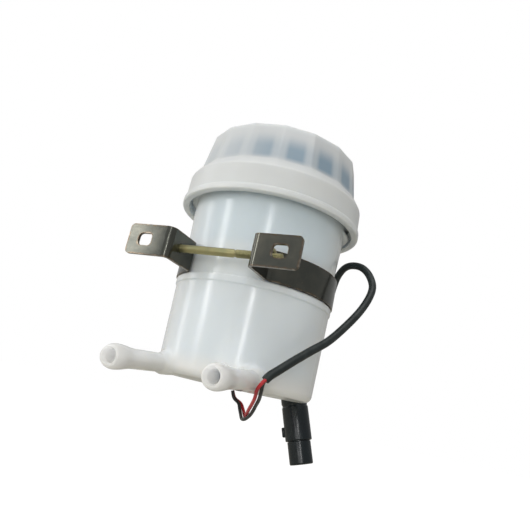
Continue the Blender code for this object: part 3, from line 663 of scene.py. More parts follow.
@dataclass(frozen=True)
class YellowZinc(Finish):
    """Yellow passivated zinc plate, with its greenish and pinkish drift."""

    gold: Colour = (0.38, 0.345, 0.18)
    olive: Colour = (0.30, 0.30, 0.16)
    pink: Colour = (0.38, 0.30, 0.20)

    def mix(self, recipe: Recipe) -> None:
        """Drifts between three tones and roughens by patches.

        Args:
            recipe: the material's recipe.
        """
        drift = recipe.span(recipe.noise(160.0, 3.0), 0.35, 0.65)
        blush = recipe.span(recipe.noise(330.0, 3.0), 0.55, 0.75, 0.0, 0.6)
        recipe.skin_values(
            Base_Color=recipe.mixed(blush, recipe.mixed(drift, self.gold, self.olive), self.pink),
            Metallic=0.9,
            Roughness=recipe.span(recipe.noise(500.0), 0.3, 0.7, 0.28, 0.46),
        )
        recipe.bumped(recipe.noise(1500.0, 2.0), 0.00001, 0.5)


@dataclass(frozen=True)
class BareMetal(Finish):
    """Plain bright metal with fine drawing marks."""

    tone: Colour = (0.62, 0.62, 0.62)
    marked: float = 0.8
    roughness: float = 0.3

    def mix(self, recipe: Recipe) -> None:
        """Adds drawing marks to a plain metal.

        Args:
            recipe: the material's recipe.
        """
        marks = recipe.noise(700.0, 3.0, vector=recipe.stretched((1.0, 1.0, 0.2)))
        recipe.skin_values(
            Base_Color=recipe.mixed(recipe.span(marks, 0.3, 0.7), self.tone, dimmed(self.tone, self.marked)),
            Metallic=1.0,
            Roughness=recipe.span(marks, 0.3, 0.7, self.roughness - 0.06, self.roughness + 0.08),
        )


@dataclass(frozen=True)
class ReedGlass(Finish):
    """The green-tinted glass of the reed capsule."""

    green: Colour = (0.45, 0.65, 0.50)
    pale: Colour = (0.6, 0.8, 0.66)

    def mix(self, recipe: Recipe) -> None:
        """Gives tinted glass whose tint drifts a little.

        Args:
            recipe: the material's recipe.
        """
        recipe.skin_values(
            Base_Color=recipe.mixed(recipe.span(recipe.noise(300.0), 0.3, 0.7), self.green, self.pale),
            Roughness=0.08,
            IOR=1.5,
            Transmission_Weight=0.7,
        )


@dataclass(frozen=True)
class Insulation(Finish):
    """Smooth extruded wire insulation or sleeving, with its drawn lines and a slight sheen."""

    tone: Colour = (0.55, 0.03, 0.04)
    soiled: Colour = (0.36, 0.02, 0.03)
    roughness: float = 0.36
    ripple: float = 0.00002

    def mix(self, recipe: Recipe) -> None:
        """Soils the tone by patches and ripples the skin.

        Args:
            recipe: the material's recipe.
        """
        soil = recipe.span(recipe.noise(170.0, 5.0), 0.45, 0.75)
        recipe.skin_values(
            Base_Color=recipe.mixed(soil, self.tone, self.soiled),
            Roughness=recipe.span(recipe.noise(260.0), 0.25, 0.75, self.roughness - 0.07, self.roughness + 0.10),
            Specular_IOR_Level=0.45,
        )
        recipe.bumped(recipe.noise(700.0, 2.0), self.ripple, 0.6)


@dataclass(frozen=True)
class GlossBlack(Finish):
    """Glossy black moulded nylon with a few handling scuffs."""

    tone: Colour = (0.005, 0.010, 0.013)
    scuffed: Colour = (0.013, 0.020, 0.024)
    roughness: float = 0.16

    def mix(self, recipe: Recipe) -> None:
        """Dulls the gloss by patches and scratches it lightly.

        Args:
            recipe: the material's recipe.
        """
        scuff = recipe.noise(260.0, 6.0, vector=recipe.stretched((1.0, 1.0, 0.35)))
        recipe.skin_values(
            Base_Color=recipe.mixed(recipe.span(scuff, 0.5, 0.8), self.tone, self.scuffed),
            Roughness=recipe.span(scuff, 0.35, 0.8, self.roughness, self.roughness + 0.20),
            Specular_IOR_Level=0.42,
        )
        recipe.bumped(recipe.noise(420.0, 2.0), 0.00003, 0.35)


@dataclass(frozen=True)
class StudioFloor(Finish):
    """Plain white paper under the part, which glows for the camera alone, so that no horizon shows."""

    tone: Colour = (0.58, 0.56, 0.49)
    tooth: float = 0.99
    glow: float = 1.32
    share: float = 0.76

    def mix(self, recipe: Recipe) -> None:
        """Gives matt paper with a faint tooth, with a glow that lights nothing else.

        Args:
            recipe: the material's recipe.
        """
        tooth = recipe.span(recipe.noise(40.0), 0.3, 0.7)
        recipe.skin_values(
            Base_Color=recipe.mixed(tooth, self.tone, dimmed(self.tone, self.tooth)),
            Roughness=0.9,
            Specular_IOR_Level=0.1,
        )
        glow = recipe.nodes.new("ShaderNodeEmission")
        glow.inputs["Strength"].default_value = self.glow
        path = recipe.nodes.new("ShaderNodeLightPath")
        choice = recipe.nodes.new("ShaderNodeMixShader")
        recipe.links.new(recipe.math(Sum.MULTIPLY, path.outputs["Is Camera Ray"], self.share), choice.inputs[0])
        recipe.links.new(recipe.skin.outputs[0], choice.inputs[1])
        recipe.links.new(glow.outputs[0], choice.inputs[2])
        output = next(node for node in recipe.nodes if node.type == "OUTPUT_MATERIAL")
        recipe.links.new(choice.outputs[0], output.inputs["Surface"])


TANK_PLASTIC = TankPlastic("tank_plastic")
CAP_PLASTIC = CapPlastic("cap_plastic")
INSIDE_WHITE = MouldedWhite("inside_white")
DIAPHRAGM_RUBBER = Rubber("diaphragm_rubber", tone=(0.035, 0.060, 0.095), bloom=(0.07, 0.10, 0.14))
PLUG_RUBBER = Rubber("plug_rubber")
FLOAT_FOAM = Foam("float_foam")
MAGNET_FERRITE = Ferrite("magnet_ferrite")
BAND_STEEL = BluedSteel("band_steel")
SCREW_ZINC = YellowZinc("screw_zinc")
CLIP_STEEL = BareMetal("clip_steel")
PIN_BRASS = BareMetal("pin_brass", tone=(0.72, 0.68, 0.55), roughness=0.26)
CAPSULE_GLASS = ReedGlass("capsule_glass")
RED_WIRE = Insulation("red_wire")
BLACK_WIRE = Insulation("black_wire", tone=(0.018, 0.018, 0.020), soiled=(0.045, 0.042, 0.040))
SLEEVE_VINYL = Insulation("sleeve_vinyl", tone=(0.009, 0.015, 0.015), soiled=(0.024, 0.032, 0.031),
                          roughness=0.42, ripple=0.00005)
CONNECTOR_NYLON = GlossBlack("connector_nylon")
STUDIO_PAPER = StudioFloor("studio_paper")


# Shapes


def rounded(corners: Sequence[Corner], closed: bool = False, turn: float = 9.0) -> list[Flat]:
    """Rounds the corners of an outline.

    Args:
        corners: (radius, height, fillet) of each corner, in order.
        closed: whether the last corner joins the first.
        turn: degrees of arc for each step.

    Returns:
        The outline's points.
    """
    points: list[Flat] = []
    count = len(corners)
    for index, (r, z, fillet) in enumerate(corners):
        open_end = not closed and index in (0, count - 1)
        here = Vector((r, z))
        if fillet <= 0 or open_end:
            points.append((r, z))
            continue
        before = Vector(corners[index - 1][:2]) - here
        after = Vector(corners[(index + 1) % count][:2]) - here
        half = before.angle(after) / 2
        if half > math.radians(89):
            points.append((r, z))
            continue
        run = min(fillet / math.tan(half), 0.49 * before.length, 0.49 * after.length)
        radius = run * math.tan(half)
        start = here + before.normalized() * run
        end = here + after.normalized() * run
        centre = here + (before.normalized() + after.normalized()).normalized() * radius / math.sin(half)
        steps = max(2, math.ceil(math.degrees(math.pi - 2 * half) / turn))
        first, last = start - centre, end - centre
        sweep = first.angle_signed(last)
        for step in range(steps + 1):
            angle = -sweep * step / steps
            spun = Vector((first.x * math.cos(angle) - first.y * math.sin(angle),
                           first.x * math.sin(angle) + first.y * math.cos(angle)))
            points.append(tuple(centre + spun))
    return points


def arc(centre: Flat, radius: float, start: float, end: float, steps: int) -> list[Flat]:
    """Returns points on an arc.

    Args:
        centre: its centre.
        radius: its radius.
        start: the first point's angle.
        end: the last point's angle.
        steps: how many steps lie between them.

    Returns:
        The points.
    """
    angles = [start + (end - start) * step / steps for step in range(steps + 1)]
    return [(centre[0] + radius * math.cos(angle), centre[1] + radius * math.sin(angle)) for angle in angles]


def finer(points: Sequence[Flat], inside: Callable[[float, float], bool], spacing: float) -> list[Flat]:
    """Splits an outline's long runs where a test holds.

    Args:
        points: the outline.
        inside: says of a radius and height whether the run there needs rows.
        spacing: the longest run left there.

    Returns:
        The outline with more points.
    """
    result = [points[0]]
    for (r0, z0), (r1, z1) in zip(points, points[1:]):
        length = math.hypot(r1 - r0, z1 - z0)
        pieces = max(1, math.ceil(length / spacing))
        for step in range(1, pieces + 1):
            r, z = r0 + (r1 - r0) * step / pieces, z0 + (z1 - z0) * step / pieces
            if step == pieces or inside(r, z):
                result.append((r, z))
    return result


class Blank:
    """Vertices and faces that grow into one mesh."""

    def __init__(self) -> None:
        """Starts empty."""
        self.points: list[Array] = []
        self.faces: list[tuple[int, ...]] = []
        self.count = 0

    def add_points(self, points: Array) -> int:
        """Adds points and returns the index of the first.

        Args:
            points: an array of n by 3.

        Returns:
            The index of the first new point.
        """
        first = self.count
        self.points.append(points)
        self.count += len(points)
        return first

    def bridge(self, upper: list[int], lower: list[int]) -> None:
        """Joins two rings, or a ring and a pole, with faces.

        Args:
            upper: indices of the first ring, or one index.
            lower: indices of the second ring, or one index.
        """
        count = max(len(upper), len(lower))
        for step in range(count):
            after = (step + 1) % count
            if len(upper) == 1:
                self.faces.append((upper[0], lower[step], lower[after]))
            elif len(lower) == 1:
                self.faces.append((upper[step], lower[0], upper[after]))
            else:
                self.faces.append((upper[step], lower[step], lower[after], upper[after]))

    def lathe(self, outline: Sequence[Flat], segments: int, closed: bool = False, warp: Warp | None = None) -> Blank:
        """Turns an outline about Z. It runs down the outer side, so the faces look outwards.

        Args:
            outline: (radius, height) points.
            segments: facets round the axis.
            closed: whether the last point joins the first.
            warp: changes radius and height at each angle, or None.

        Returns:
            The blank.
        """
        angles = np.arange(segments) * math.tau / segments
        rings: list[list[int]] = []
        for r, z in outline:
            if r < 1e-7:
                rings.append([self.add_points(np.array([[0.0, 0.0, z]]))])
                continue
            radii, heights = np.full(segments, r), np.full(segments, z)
            if warp is not None:
                radii, heights = warp(angles, radii, heights)
            points = np.column_stack((radii * np.cos(angles), radii * np.sin(angles), heights))
            first = self.add_points(points)
            rings.append(list(range(first, first + segments)))
        pairs = list(zip(rings, rings[1:])) + ([(rings[-1], rings[0])] if closed else [])
        for upper, lower in pairs:
            self.bridge(upper, lower)
        return self

    def rod(self, radius: float, top: float, bottom: float, segments: int) -> Blank:
        """Adds a plain round rod about Z.

        Args:
            radius: its radius.
            top: the height of its upper end.
            bottom: the height of its lower end.
            segments: facets round it.

        Returns:
            The blank.
        """
        return self.lathe([(0.0, top), (radius, top), (radius, bottom), (0.0, bottom)], segments)

    def sweep(self, path: Sequence[Vector], radii: Sequence[float], segments: int) -> Blank:
        """Runs a round section along a path, closed at both ends.

        Args:
            path: the centre line's points.
            radii: the radius at each point.
            segments: facets round the section.

        Returns:
            The blank.
        """
        tangents = [(path[min(i + 1, len(path) - 1)] - path[max(i - 1, 0)]).normalized() for i in range(len(path))]
        side = tangents[0].orthogonal().normalized()
        angles = np.arange(segments) * math.tau / segments
        rings = [[self.add_points(np.array([path[0]]))]]
        for index, (point, tangent, radius) in enumerate(zip(path, tangents, radii)):
            if index:
                side = tangents[index - 1].rotation_difference(tangent) @ side
            side = (side - tangent * side.dot(tangent)).normalized()
            other = tangent.cross(side)
            ring = (np.array(point) + radius * (np.outer(np.cos(angles), np.array(side))
                                               + np.outer(np.sin(angles), np.array(other))))
            first = self.add_points(ring)
            rings.append(list(range(first, first + segments)))
        rings.append([self.add_points(np.array([path[-1]]))])
        for upper, lower in zip(rings, rings[1:]):
            self.bridge(lower, upper)
        return self

    def box(self, size: Place, centre: Place) -> Blank:
        """Adds a box.

        Args:
            size: its lengths along X, Y and Z.
            centre: its middle.

        Returns:
            The blank.
        """
        signs = np.array([(x, y, z) for x in (-1, 1) for y in (-1, 1) for z in (-1, 1)], float)
        first = self.add_points(signs * np.array(size) / 2 + np.array(centre))
        for quad in ((0, 1, 3, 2), (4, 6, 7, 5), (0, 4, 5, 1), (2, 3, 7, 6), (0, 2, 6, 4), (1, 5, 7, 3)):
            self.faces.append(tuple(first + i for i in quad))
        return self

    def mesh(self, name: str, place: Matrix) -> bpy.types.Mesh:
        """Returns the mesh, moved to its place.

        Args:
            name: the mesh's name.
            place: the matrix that puts it in the part's frame.

        Returns:
            The mesh.
        """
        mesh = bpy.data.meshes.new(name)
        mesh.from_pydata(np.concatenate(self.points).tolist(), [], self.faces)
        mesh.transform(place)
        mesh.update()
        return mesh


class Workshop:
    """Turns blanks into finished pieces of the model."""

    def __init__(self, nodes: dict[str, Piece]) -> None:
        """Makes the collection that the pieces go into.
        """
        self.nodes = nodes
        self.shelf = bpy.data.collections.new("looks")
        bpy.context.scene.collection.children.link(self.shelf)

    def raw(self, name: str, blank: Blank, place: Matrix = TANK_PLACE) -> Piece:
        """Makes an object from a blank.

        Args:
            name: the piece's name.
            blank: its vertices and faces.
            place: the matrix that puts it in the part's frame.

        Returns:
            The object.
        """
        obj = bpy.data.objects.new(name, blank.mesh(name, place))
        self.shelf.objects.link(obj)
        return obj

    def modified(self, obj: Piece) -> Piece:
        """Applies all of an object's modifiers.

        Args:
            obj: the object.

        Returns:
            The object.
        """
        graph = bpy.context.evaluated_depsgraph_get()
        obj.data = bpy.data.meshes.new_from_object(obj.evaluated_get(graph), depsgraph=graph)
        obj.modifiers.clear()
        return obj

    def carve(self, target: Piece, tool: Piece, operation: Carving = Carving.CUT,
              solver: Solver = Solver.QUICK) -> Piece:
        """Cuts or joins a tool into a target and throws the tool away.

        Args:
            target: the piece.
            tool: the cutter or the shape to join.
            operation: whether the tool is cut out or joined on.
            solver: how the new edges are found.

        Returns:
            The piece.
        """
        step = target.modifiers.new("carve", "BOOLEAN")
        step.operation = operation.value
        step.solver = solver.value
        step.object = tool
        bpy.context.view_layer.update()
        self.modified(target)
        bpy.data.objects.remove(tool, do_unlink=True)
        return target

    def soften(self, obj: Piece, width: float, segments: int = 2, angle: float = 30.0) -> Piece:
        """Rounds an object's sharp edges.

        Args:
            obj: the piece.
            width: the rounding's width.
            segments: steps across it.
            angle: degrees from which an edge counts as sharp.

        Returns:
            The piece.
        """
        bevel = obj.modifiers.new("soften", "BEVEL")
        bevel.width = width
        bevel.segments = segments
        bevel.limit_method = "ANGLE"
        bevel.angle_limit = math.radians(angle)
        bevel.harden_normals = True
        for face in obj.data.polygons:
            face.use_smooth = True
        bpy.context.view_layer.update()
        return self.modified(obj)

    def smooth(self, obj: Piece, angle: float = 32.0) -> Piece:
        """Shades an object smooth, but for its edges sharper than an angle.

        Args:
            obj: the piece.
            angle: the angle in degrees.

        Returns:
            The piece.
        """
        work = bmesh.new()
        work.from_mesh(obj.data)
        limit = math.radians(angle)
        for edge in work.edges:
            edge.smooth = len(edge.link_faces) != 2 or edge.calc_face_angle(0.0) < limit
        for face in work.faces:
            face.smooth = True
        work.to_mesh(obj.data)
        work.free()
        return obj

    def finished(self, obj: Piece, finish: Finish, nodes: Sequence[str],
                 body: Body = Body.RESERVOIR) -> Piece:
        """Dresses a piece, lets it ride on its body and stand for its CAD nodes.

        Args:
            obj: the piece.
            finish: its finish.
            nodes: the CAD nodes that it stands for.
            body: the body that it rides on.

        Returns:
            The piece.
        """
        obj.data.materials.clear()
        obj.data.materials.append(finish.material())
        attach(obj, body.value)
        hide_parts(*nodes)
        LOG.info("%s: %d faces", obj.name, len(obj.data.polygons))
        return obj

    def dress(self, node: str, finish: Finish) -> None:
        """Gives a carried-over CAD node its finish.

        Args:
            node: the node's name.
            finish: its finish.
        """
        for slot in self.nodes[node].material_slots:
            slot.material = finish.material()
        LOG.info("%s: dressed", node)


@dataclass(frozen=True)
class Helix:
    """A screw thread's ridge about the tank's axis, as a change of radius."""

    start_z: float
    turns: float
    pitch: float = 0.0050
    height: float = 0.0026
    base: float = 0.0011
    crest: float = 0.0005
    fade: float = 0.06

    def lift(self, angles: Array, heights: Array) -> Array:
        """Returns how far the ridge stands out at each angle and height.

        Args:
            angles: the angles about the axis, in radians.
            heights: the heights.

        Returns:
            The ridge's height there, 0 beside it.
        """
        share = angles / math.tau
        turn = np.round((heights - self.start_z) / self.pitch - share) + share
        off = np.abs(heights - self.start_z - self.pitch * turn)
        flank = np.clip((self.base - off) / (self.base - self.crest), 0.0, 1.0)
        ends = np.clip(np.minimum(turn, self.turns - turn) / self.fade, 0.0, 1.0)
        return self.height * flank * flank * (3 - 2 * flank) * ends


def smooth_route(route: Sequence[Place], spacing: float) -> list[Vector]:
    """Returns evenly spaced points on the smooth curve through a route's own points.

    Args:
        route: the route's points about the tank's axis.
        spacing: the distance between the points returned.

    Returns:
        The points.
    """
    points = [Vector(p) for p in route]
    ends = [2 * points[0] - points[1]] + points + [2 * points[-1] - points[-2]]
    fine = []
    for before, start, end, after in zip(ends, ends[1:], ends[2:], ends[3:]):
        for step in range(CURVE_STEPS):
            t = step / CURVE_STEPS
            fine.append(0.5 * (
                2 * start + (end - before) * t
                + (2 * before - 5 * start + 4 * end - after) * t ** 2
                + (3 * start - before - 3 * end + after) * t ** 3
            ))
    fine.append(points[-1])
    lengths = [0.0]
    for a, b in zip(fine, fine[1:]):
        lengths.append(lengths[-1] + (b - a).length)
    count = max(2, round(lengths[-1] / spacing))
    placed, at = [], 0
    for step in range(count + 1):
        want = lengths[-1] * step / count
        while at < len(fine) - 2 and lengths[at + 1] < want:
            at += 1
        share = (want - lengths[at]) / (lengths[at + 1] - lengths[at])
        placed.append(fine[at].lerp(fine[at + 1], min(max(share, 0.0), 1.0)))
    return placed


class SubAssembly(ABC):
    """One group of pieces that is built and dressed together."""

    @abstractmethod
    def build(self, shop: Workshop) -> None:
        """Builds and dresses the pieces."""


# Tank


@dataclass
class Spout:
    """One beaded hose spout, along its own axis."""

    spread: float = 0.0224
    reach_y: float = 0.0635
    root_y: float = 0.0300
    root_z: float = 0.0034
    droop: float = math.radians(4.8)
    tube_r: float = 0.0041
    bore_r: float = 0.0026
    flare_r: float = 0.0050
    flare: float = 0.0036
    tail: float = 0.0084
    tail_r: float = 0.0038
    bead_r: float = 0.00505
    bead_half: float = 0.0042
    bead_tail: float = 0.0110
    nose_r: float = 0.0040
    nose_rim: float = 0.0009
    nose_edge: Flat = (0.0003, 0.00012)
    nose_steps: int = 12
    mouth_r: float = 0.0034
    mouth_sink: float = 0.0016
    row: float = 0.0005
    segments: int = 72

    @property
    def reach(self) -> float:
        """The distance along the axis from the root to the middle of the bead."""
        return (self.reach_y - self.root_y) / math.cos(self.droop)

    def place(self, side: int) -> Matrix:
        """Returns the matrix from the spout's own axis to the tank's frame, for side -1 or 1."""
        root = Matrix.Translation((side * self.spread, -self.root_y, self.root_z))
        return root @ Matrix.Rotation(math.pi / 2 + self.droop, 4, "X")

    def radius(self, along: Array) -> Array:
        """Returns the tube's radius at distances along its axis, without the bead."""
        return np.interp(along, (-self.tail, 0.0, self.flare), (self.tail_r, self.flare_r, self.tube_r))

    def solid(self) -> Blank:
        """Returns the spout as a closed solid, with a bead that swells softly out of the tube.

        Returns:
            The blank.
        """
        middle = self.tube_r / 2
        half = math.acos((self.nose_r - middle) / (self.bead_r - middle))
        nose = []
        for step in range(self.nose_steps + 1):
            angle = half * (1 - step / self.nose_steps)
            along = self.reach + self.bead_half * math.sin(angle) / math.sin(half)
            nose.append((middle + (self.bead_r - middle) * math.cos(angle), along))
        tip = self.reach + self.bead_half
        in_by, down_by = self.nose_edge
        edge = [(0.0, tip), (self.nose_r - self.nose_rim, tip), (self.nose_r - in_by, tip - down_by)]
        tube = []
        for along in np.arange(self.reach - self.row, -self.tail, -self.row):
            swell = max(0.0, 1 - (self.reach - along) / self.bead_tail)
            ease = swell * swell * (3 - 2 * swell)
            radius = float(self.radius(np.array(along)))
            tube.append((radius + (self.bead_r - radius) * ease, along))
        return Blank().lathe([*edge, *nose[1:], *tube, (self.tail_r, -self.tail), (0.0, -self.tail)], self.segments)

    def bore(self, start: float) -> Blank:
        """Returns the cutter for the spout's bore, with a countersunk mouth.

        Args:
            start: where the bore starts, along the axis.

        Returns:
            The cutter.
        """
        tip = self.reach + self.bead_half
        outline = [(0.0, tip + 0.001, 0.0), (self.mouth_r + 0.0002, tip + 0.001, 0.0), (self.mouth_r, tip, 0.0008),
                   (self.bore_r, tip - self.mouth_sink, 0.0020), (self.bore_r, start, 0.0), (0.0, start, 0.0)]
        return Blank().lathe(rounded(outline), self.segments)


@dataclass
class Tank(SubAssembly):
    """The tank moulding: walls, ledge, threaded neck, post, partition and spouts."""

    foot_r: float = 0.0369
    foot_round: float = 0.0035
    ledge_r: float = 0.0380
    ledge_z: float = 0.0450
    lip_proud: float = 0.0005
    lip_h: float = 0.0030
    seat_r: float = 0.0372
    seat_h: float = 0.0160
    neck_r: float = 0.0382
    neck_z: float = 0.0800
    rim_z: float = 0.0929
    wall: float = 0.0024
    floor: float = 0.0024
    post_r: float = 0.0045
    post_bore_r: float = 0.0029
    post_top: float = 0.0620
    post_end: float = 0.0016
    clip_groove: float = 0.0006
    clip_low: float = 0.0573
    clip_high: float = 0.0587
    boss_r: float = 0.0072
    boss_z: float = 0.0200
    plug_r: float = 0.0052
    plug_top: float = 0.0058
    step_r: float = 0.0370
    step_z: float = 0.0917
    partition_t: float = 0.0018
    partition_h: float = 0.0180
    blend: float = 0.0034
    blend_rounds: int = 6
    skin: float = 0.00012
    seam_proud: float = 0.00012
    seam_half: float = 0.0006
    thread_end: float = 0.0006
    thread_row: float = 0.00028
    root_row: float = 0.0007
    wall_row: float = 0.004
    root_high: float = 0.013
    root_in: float = 0.010
    segments: int = 240
    thread: Helix = field(default_factory=lambda: Helix(start_z=0.0832, turns=1.45))
    spout: Spout = field(default_factory=Spout)

    def outer(self) -> list[Flat]:
        """Returns the outer side, from the rim's middle down to the foot's, with close rows at thread and roots.

        Returns:
            The outline.
        """
        lip = self.ledge_r + self.lip_proud
        corners = [
            (0.0, self.rim_z, 0.0), (self.neck_r, self.rim_z, 0.0005), (self.neck_r, self.neck_z, 0.004),
            (self.seat_r, self.ledge_z + self.seat_h, 0.006), (self.seat_r, self.ledge_z, 0.0003),
            (lip, self.ledge_z, 0.0007), (lip, self.ledge_z - self.lip_h, 0.0005),
            (self.ledge_r, self.ledge_z - self.lip_h - self.lip_proud, 0.0008),
            (self.foot_r, 0.0, self.foot_round), (0.0, 0.0, 0.0),
        ]
        line = rounded(corners, turn=6.0)
        line = finer(line, lambda r, z: z > self.neck_z, self.thread_row)
        line = finer(line, lambda r, z: z < self.root_high and r > self.root_in, self.root_row)
        return finer(line, lambda r, z: z > 0.0, self.wall_row)

    def cavity(self) -> list[Flat]:
        """Returns the hollow's outline, round the post, its clip groove and its boss.

        Returns:
            The outline.
        """
        foot = self.foot_r - self.wall
        rim = self.neck_r - self.wall
        past = self.rim_z + PAST
        groove = self.post_r - self.clip_groove
        corners = [
            (0.0, past, 0.0), (self.step_r, past, 0.0), (self.step_r, self.step_z, 0.0002),
            (foot + (rim - foot) * self.step_z / self.rim_z, self.step_z, 0.0002), (foot, self.floor, 0.0020),
            (self.boss_r, self.floor, 0.0008), (self.boss_r, self.boss_z, 0.0004),
            (self.post_r, self.boss_z, 0.0003), (self.post_r, self.clip_low, 0.0), (groove, self.clip_low, 0.0),
            (groove, self.clip_high, 0.0), (self.post_r, self.clip_high, 0.0),
            (self.post_r, self.post_top, 0.0012), (0.0, self.post_top, 0.0),
        ]
        return rounded(corners)

    def warp(self, angles: Array, radii: Array, heights: Array) -> Rings:
        """Raises the neck's thread and the mould's two parting lines.

        Args:
            angles: the angles about the axis.
            radii: the radii there.
            heights: the heights there.

        Returns:
            The changed radii and the heights.
        """
        if self.neck_z < heights[0] < self.rim_z - self.thread_end:
            radii = radii + self.thread.lift(angles, heights)
        elif self.foot_round < heights[0] < self.neck_z:
            from_seam = np.abs((angles + math.pi / 2) % math.pi - math.pi / 2) * radii
            radii = radii + self.seam_proud * np.clip(1.0 - from_seam / self.seam_half, 0.0, 1.0)
        return radii, heights

    def wall_distance(self, points: Array) -> Array:
        """Returns the distance from the lower tank's outside, below 0 inside it.

        Args:
            points: an array of n by 3 in the tank's frame.

        Returns:
            The distances.
        """
        radius = self.foot_r + (self.ledge_r - self.foot_r) * points[:, 2] / (self.ledge_z - self.lip_h)
        out = np.hypot(points[:, 0], points[:, 1]) - (radius - self.foot_round)
        down = self.foot_round - points[:, 2]
        return (np.hypot(np.maximum(out, 0), np.maximum(down, 0)) + np.minimum(np.maximum(out, down), 0)
                - self.foot_round)

    def spout_distance(self, points: Array) -> Array:
        """Returns the distance from the nearer spout's tube, below 0 inside it.

        Args:
            points: an array of n by 3 in the tank's frame.

        Returns:
            The distances.
        """
        nearest = np.full(len(points), 1.0)
        for side in (-1, 1):
            inverse = np.array(self.spout.place(side).inverted())
            own = points @ inverse[:3, :3].T + inverse[:3, 3]
            tube = np.hypot(own[:, 0], own[:, 1]) - self.spout.radius(own[:, 2])
            behind = -self.spout.tail - own[:, 2]
            nearest = np.minimum(nearest, np.maximum(tube, behind))
        return nearest

    def blended(self, points: Array) -> Array:
        """Returns the distance from tank and spouts joined with a fillet.

        Args:
            points: an array of n by 3 in the tank's frame.

        Returns:
            The distances.
        """
        a, b = self.wall_distance(points), self.spout_distance(points)
        share = np.maximum(self.blend - np.abs(a - b), 0) / self.blend
        return np.minimum(a, b) - share * share * self.blend / 4

    def slope(self, points: Array) -> Array:
        """Returns the outward unit direction of the blended distance at points.

        Args:
            points: an array of n by 3 in the tank's frame.

        Returns:
            The directions.
        """
        step = 0.00004
        parts = []
        for axis in range(3):
            shift = np.zeros(3)
            shift[axis] = step
            parts.append(self.blended(points + shift) - self.blended(points - shift))
        slope = np.column_stack(parts)
        return slope / np.maximum(np.linalg.norm(slope, axis=1, keepdims=True), 1e-9)

    def fillet_roots(self, tank: Piece) -> None:
        """Moves the skin about the spouts' roots onto a smooth fillet, and shades it so.

        Args:
            tank: the joined tank.
        """
        mesh = tank.data
        flat = np.zeros(len(mesh.vertices) * 3)
        mesh.vertices.foreach_get("co", flat)
        points = flat.reshape(-1, 3) - np.array(FOOT)
        a, b = self.wall_distance(points), self.spout_distance(points)
        on_wall = (np.abs(a) < self.skin) & (b > -self.skin)
        on_spout = (np.abs(b) < self.skin) & (a > -self.skin)
        near = (on_wall | on_spout) & (np.abs(a - b) < self.blend)
        moved = points[near]
        for _ in range(self.blend_rounds):
            moved = moved - self.slope(moved) * self.blended(moved)[:, None]
        points[near] = moved
        normals = np.zeros_like(points)
        normals[near] = self.slope(moved)
        mesh.vertices.foreach_set("co", (points + np.array(FOOT)).ravel())
        mesh.update()
        mesh.normals_split_custom_set_from_vertices(normals.tolist())
        LOG.info("spout roots: %d points on the fillet", int(near.sum()))

    def build(self, shop: Workshop) -> None:
        """Builds the tank and carves its hollow, well and bores.

        Args:
            shop: the workshop.
        """
        tank = shop.raw("tank", Blank().lathe(self.outer(), self.segments, warp=self.warp))
        for side in (-1, 1):
            solid = shop.raw("spout", self.spout.solid(), TANK_PLACE @ self.spout.place(side))
            shop.carve(tank, solid, Carving.JOIN)
        hollow = Blank().lathe(self.cavity(), self.segments // 2)
        size = (self.partition_t, 2 * self.foot_r, self.partition_h)
        wall = Blank().box(size, (0.0, 0.0, self.partition_h / 2))
        shop.carve(tank, shop.carve(shop.raw("hollow", hollow), shop.raw("partition", wall)))
        inside = math.sqrt((self.foot_r - self.wall) ** 2 - self.spout.spread ** 2) - self.spout.root_y
        for side in (-1, 1):
            bore = self.spout.bore(inside - PAST)
            shop.carve(tank, shop.raw("bore", bore, TANK_PLACE @ self.spout.place(side)))
        well_top = self.post_top - self.post_end
        well = Blank().lathe(rounded([
            (0.0, well_top, 0.0), (self.post_bore_r, well_top, 0.0004), (self.post_bore_r, self.plug_top, 0.0),
            (self.plug_r, self.plug_top, 0.0), (self.plug_r, -PAST, 0.0), (0.0, -PAST, 0.0),
        ]), SMALL_ROUND)
        shop.carve(tank, shop.raw("well", well))
        shop.smooth(tank)
        self.fillet_roots(tank)
        shop.finished(tank, TANK_PLASTIC, ["reservoir_body"])
        shop.dress("filler_strainer", INSIDE_WHITE)


# Cap and its seal


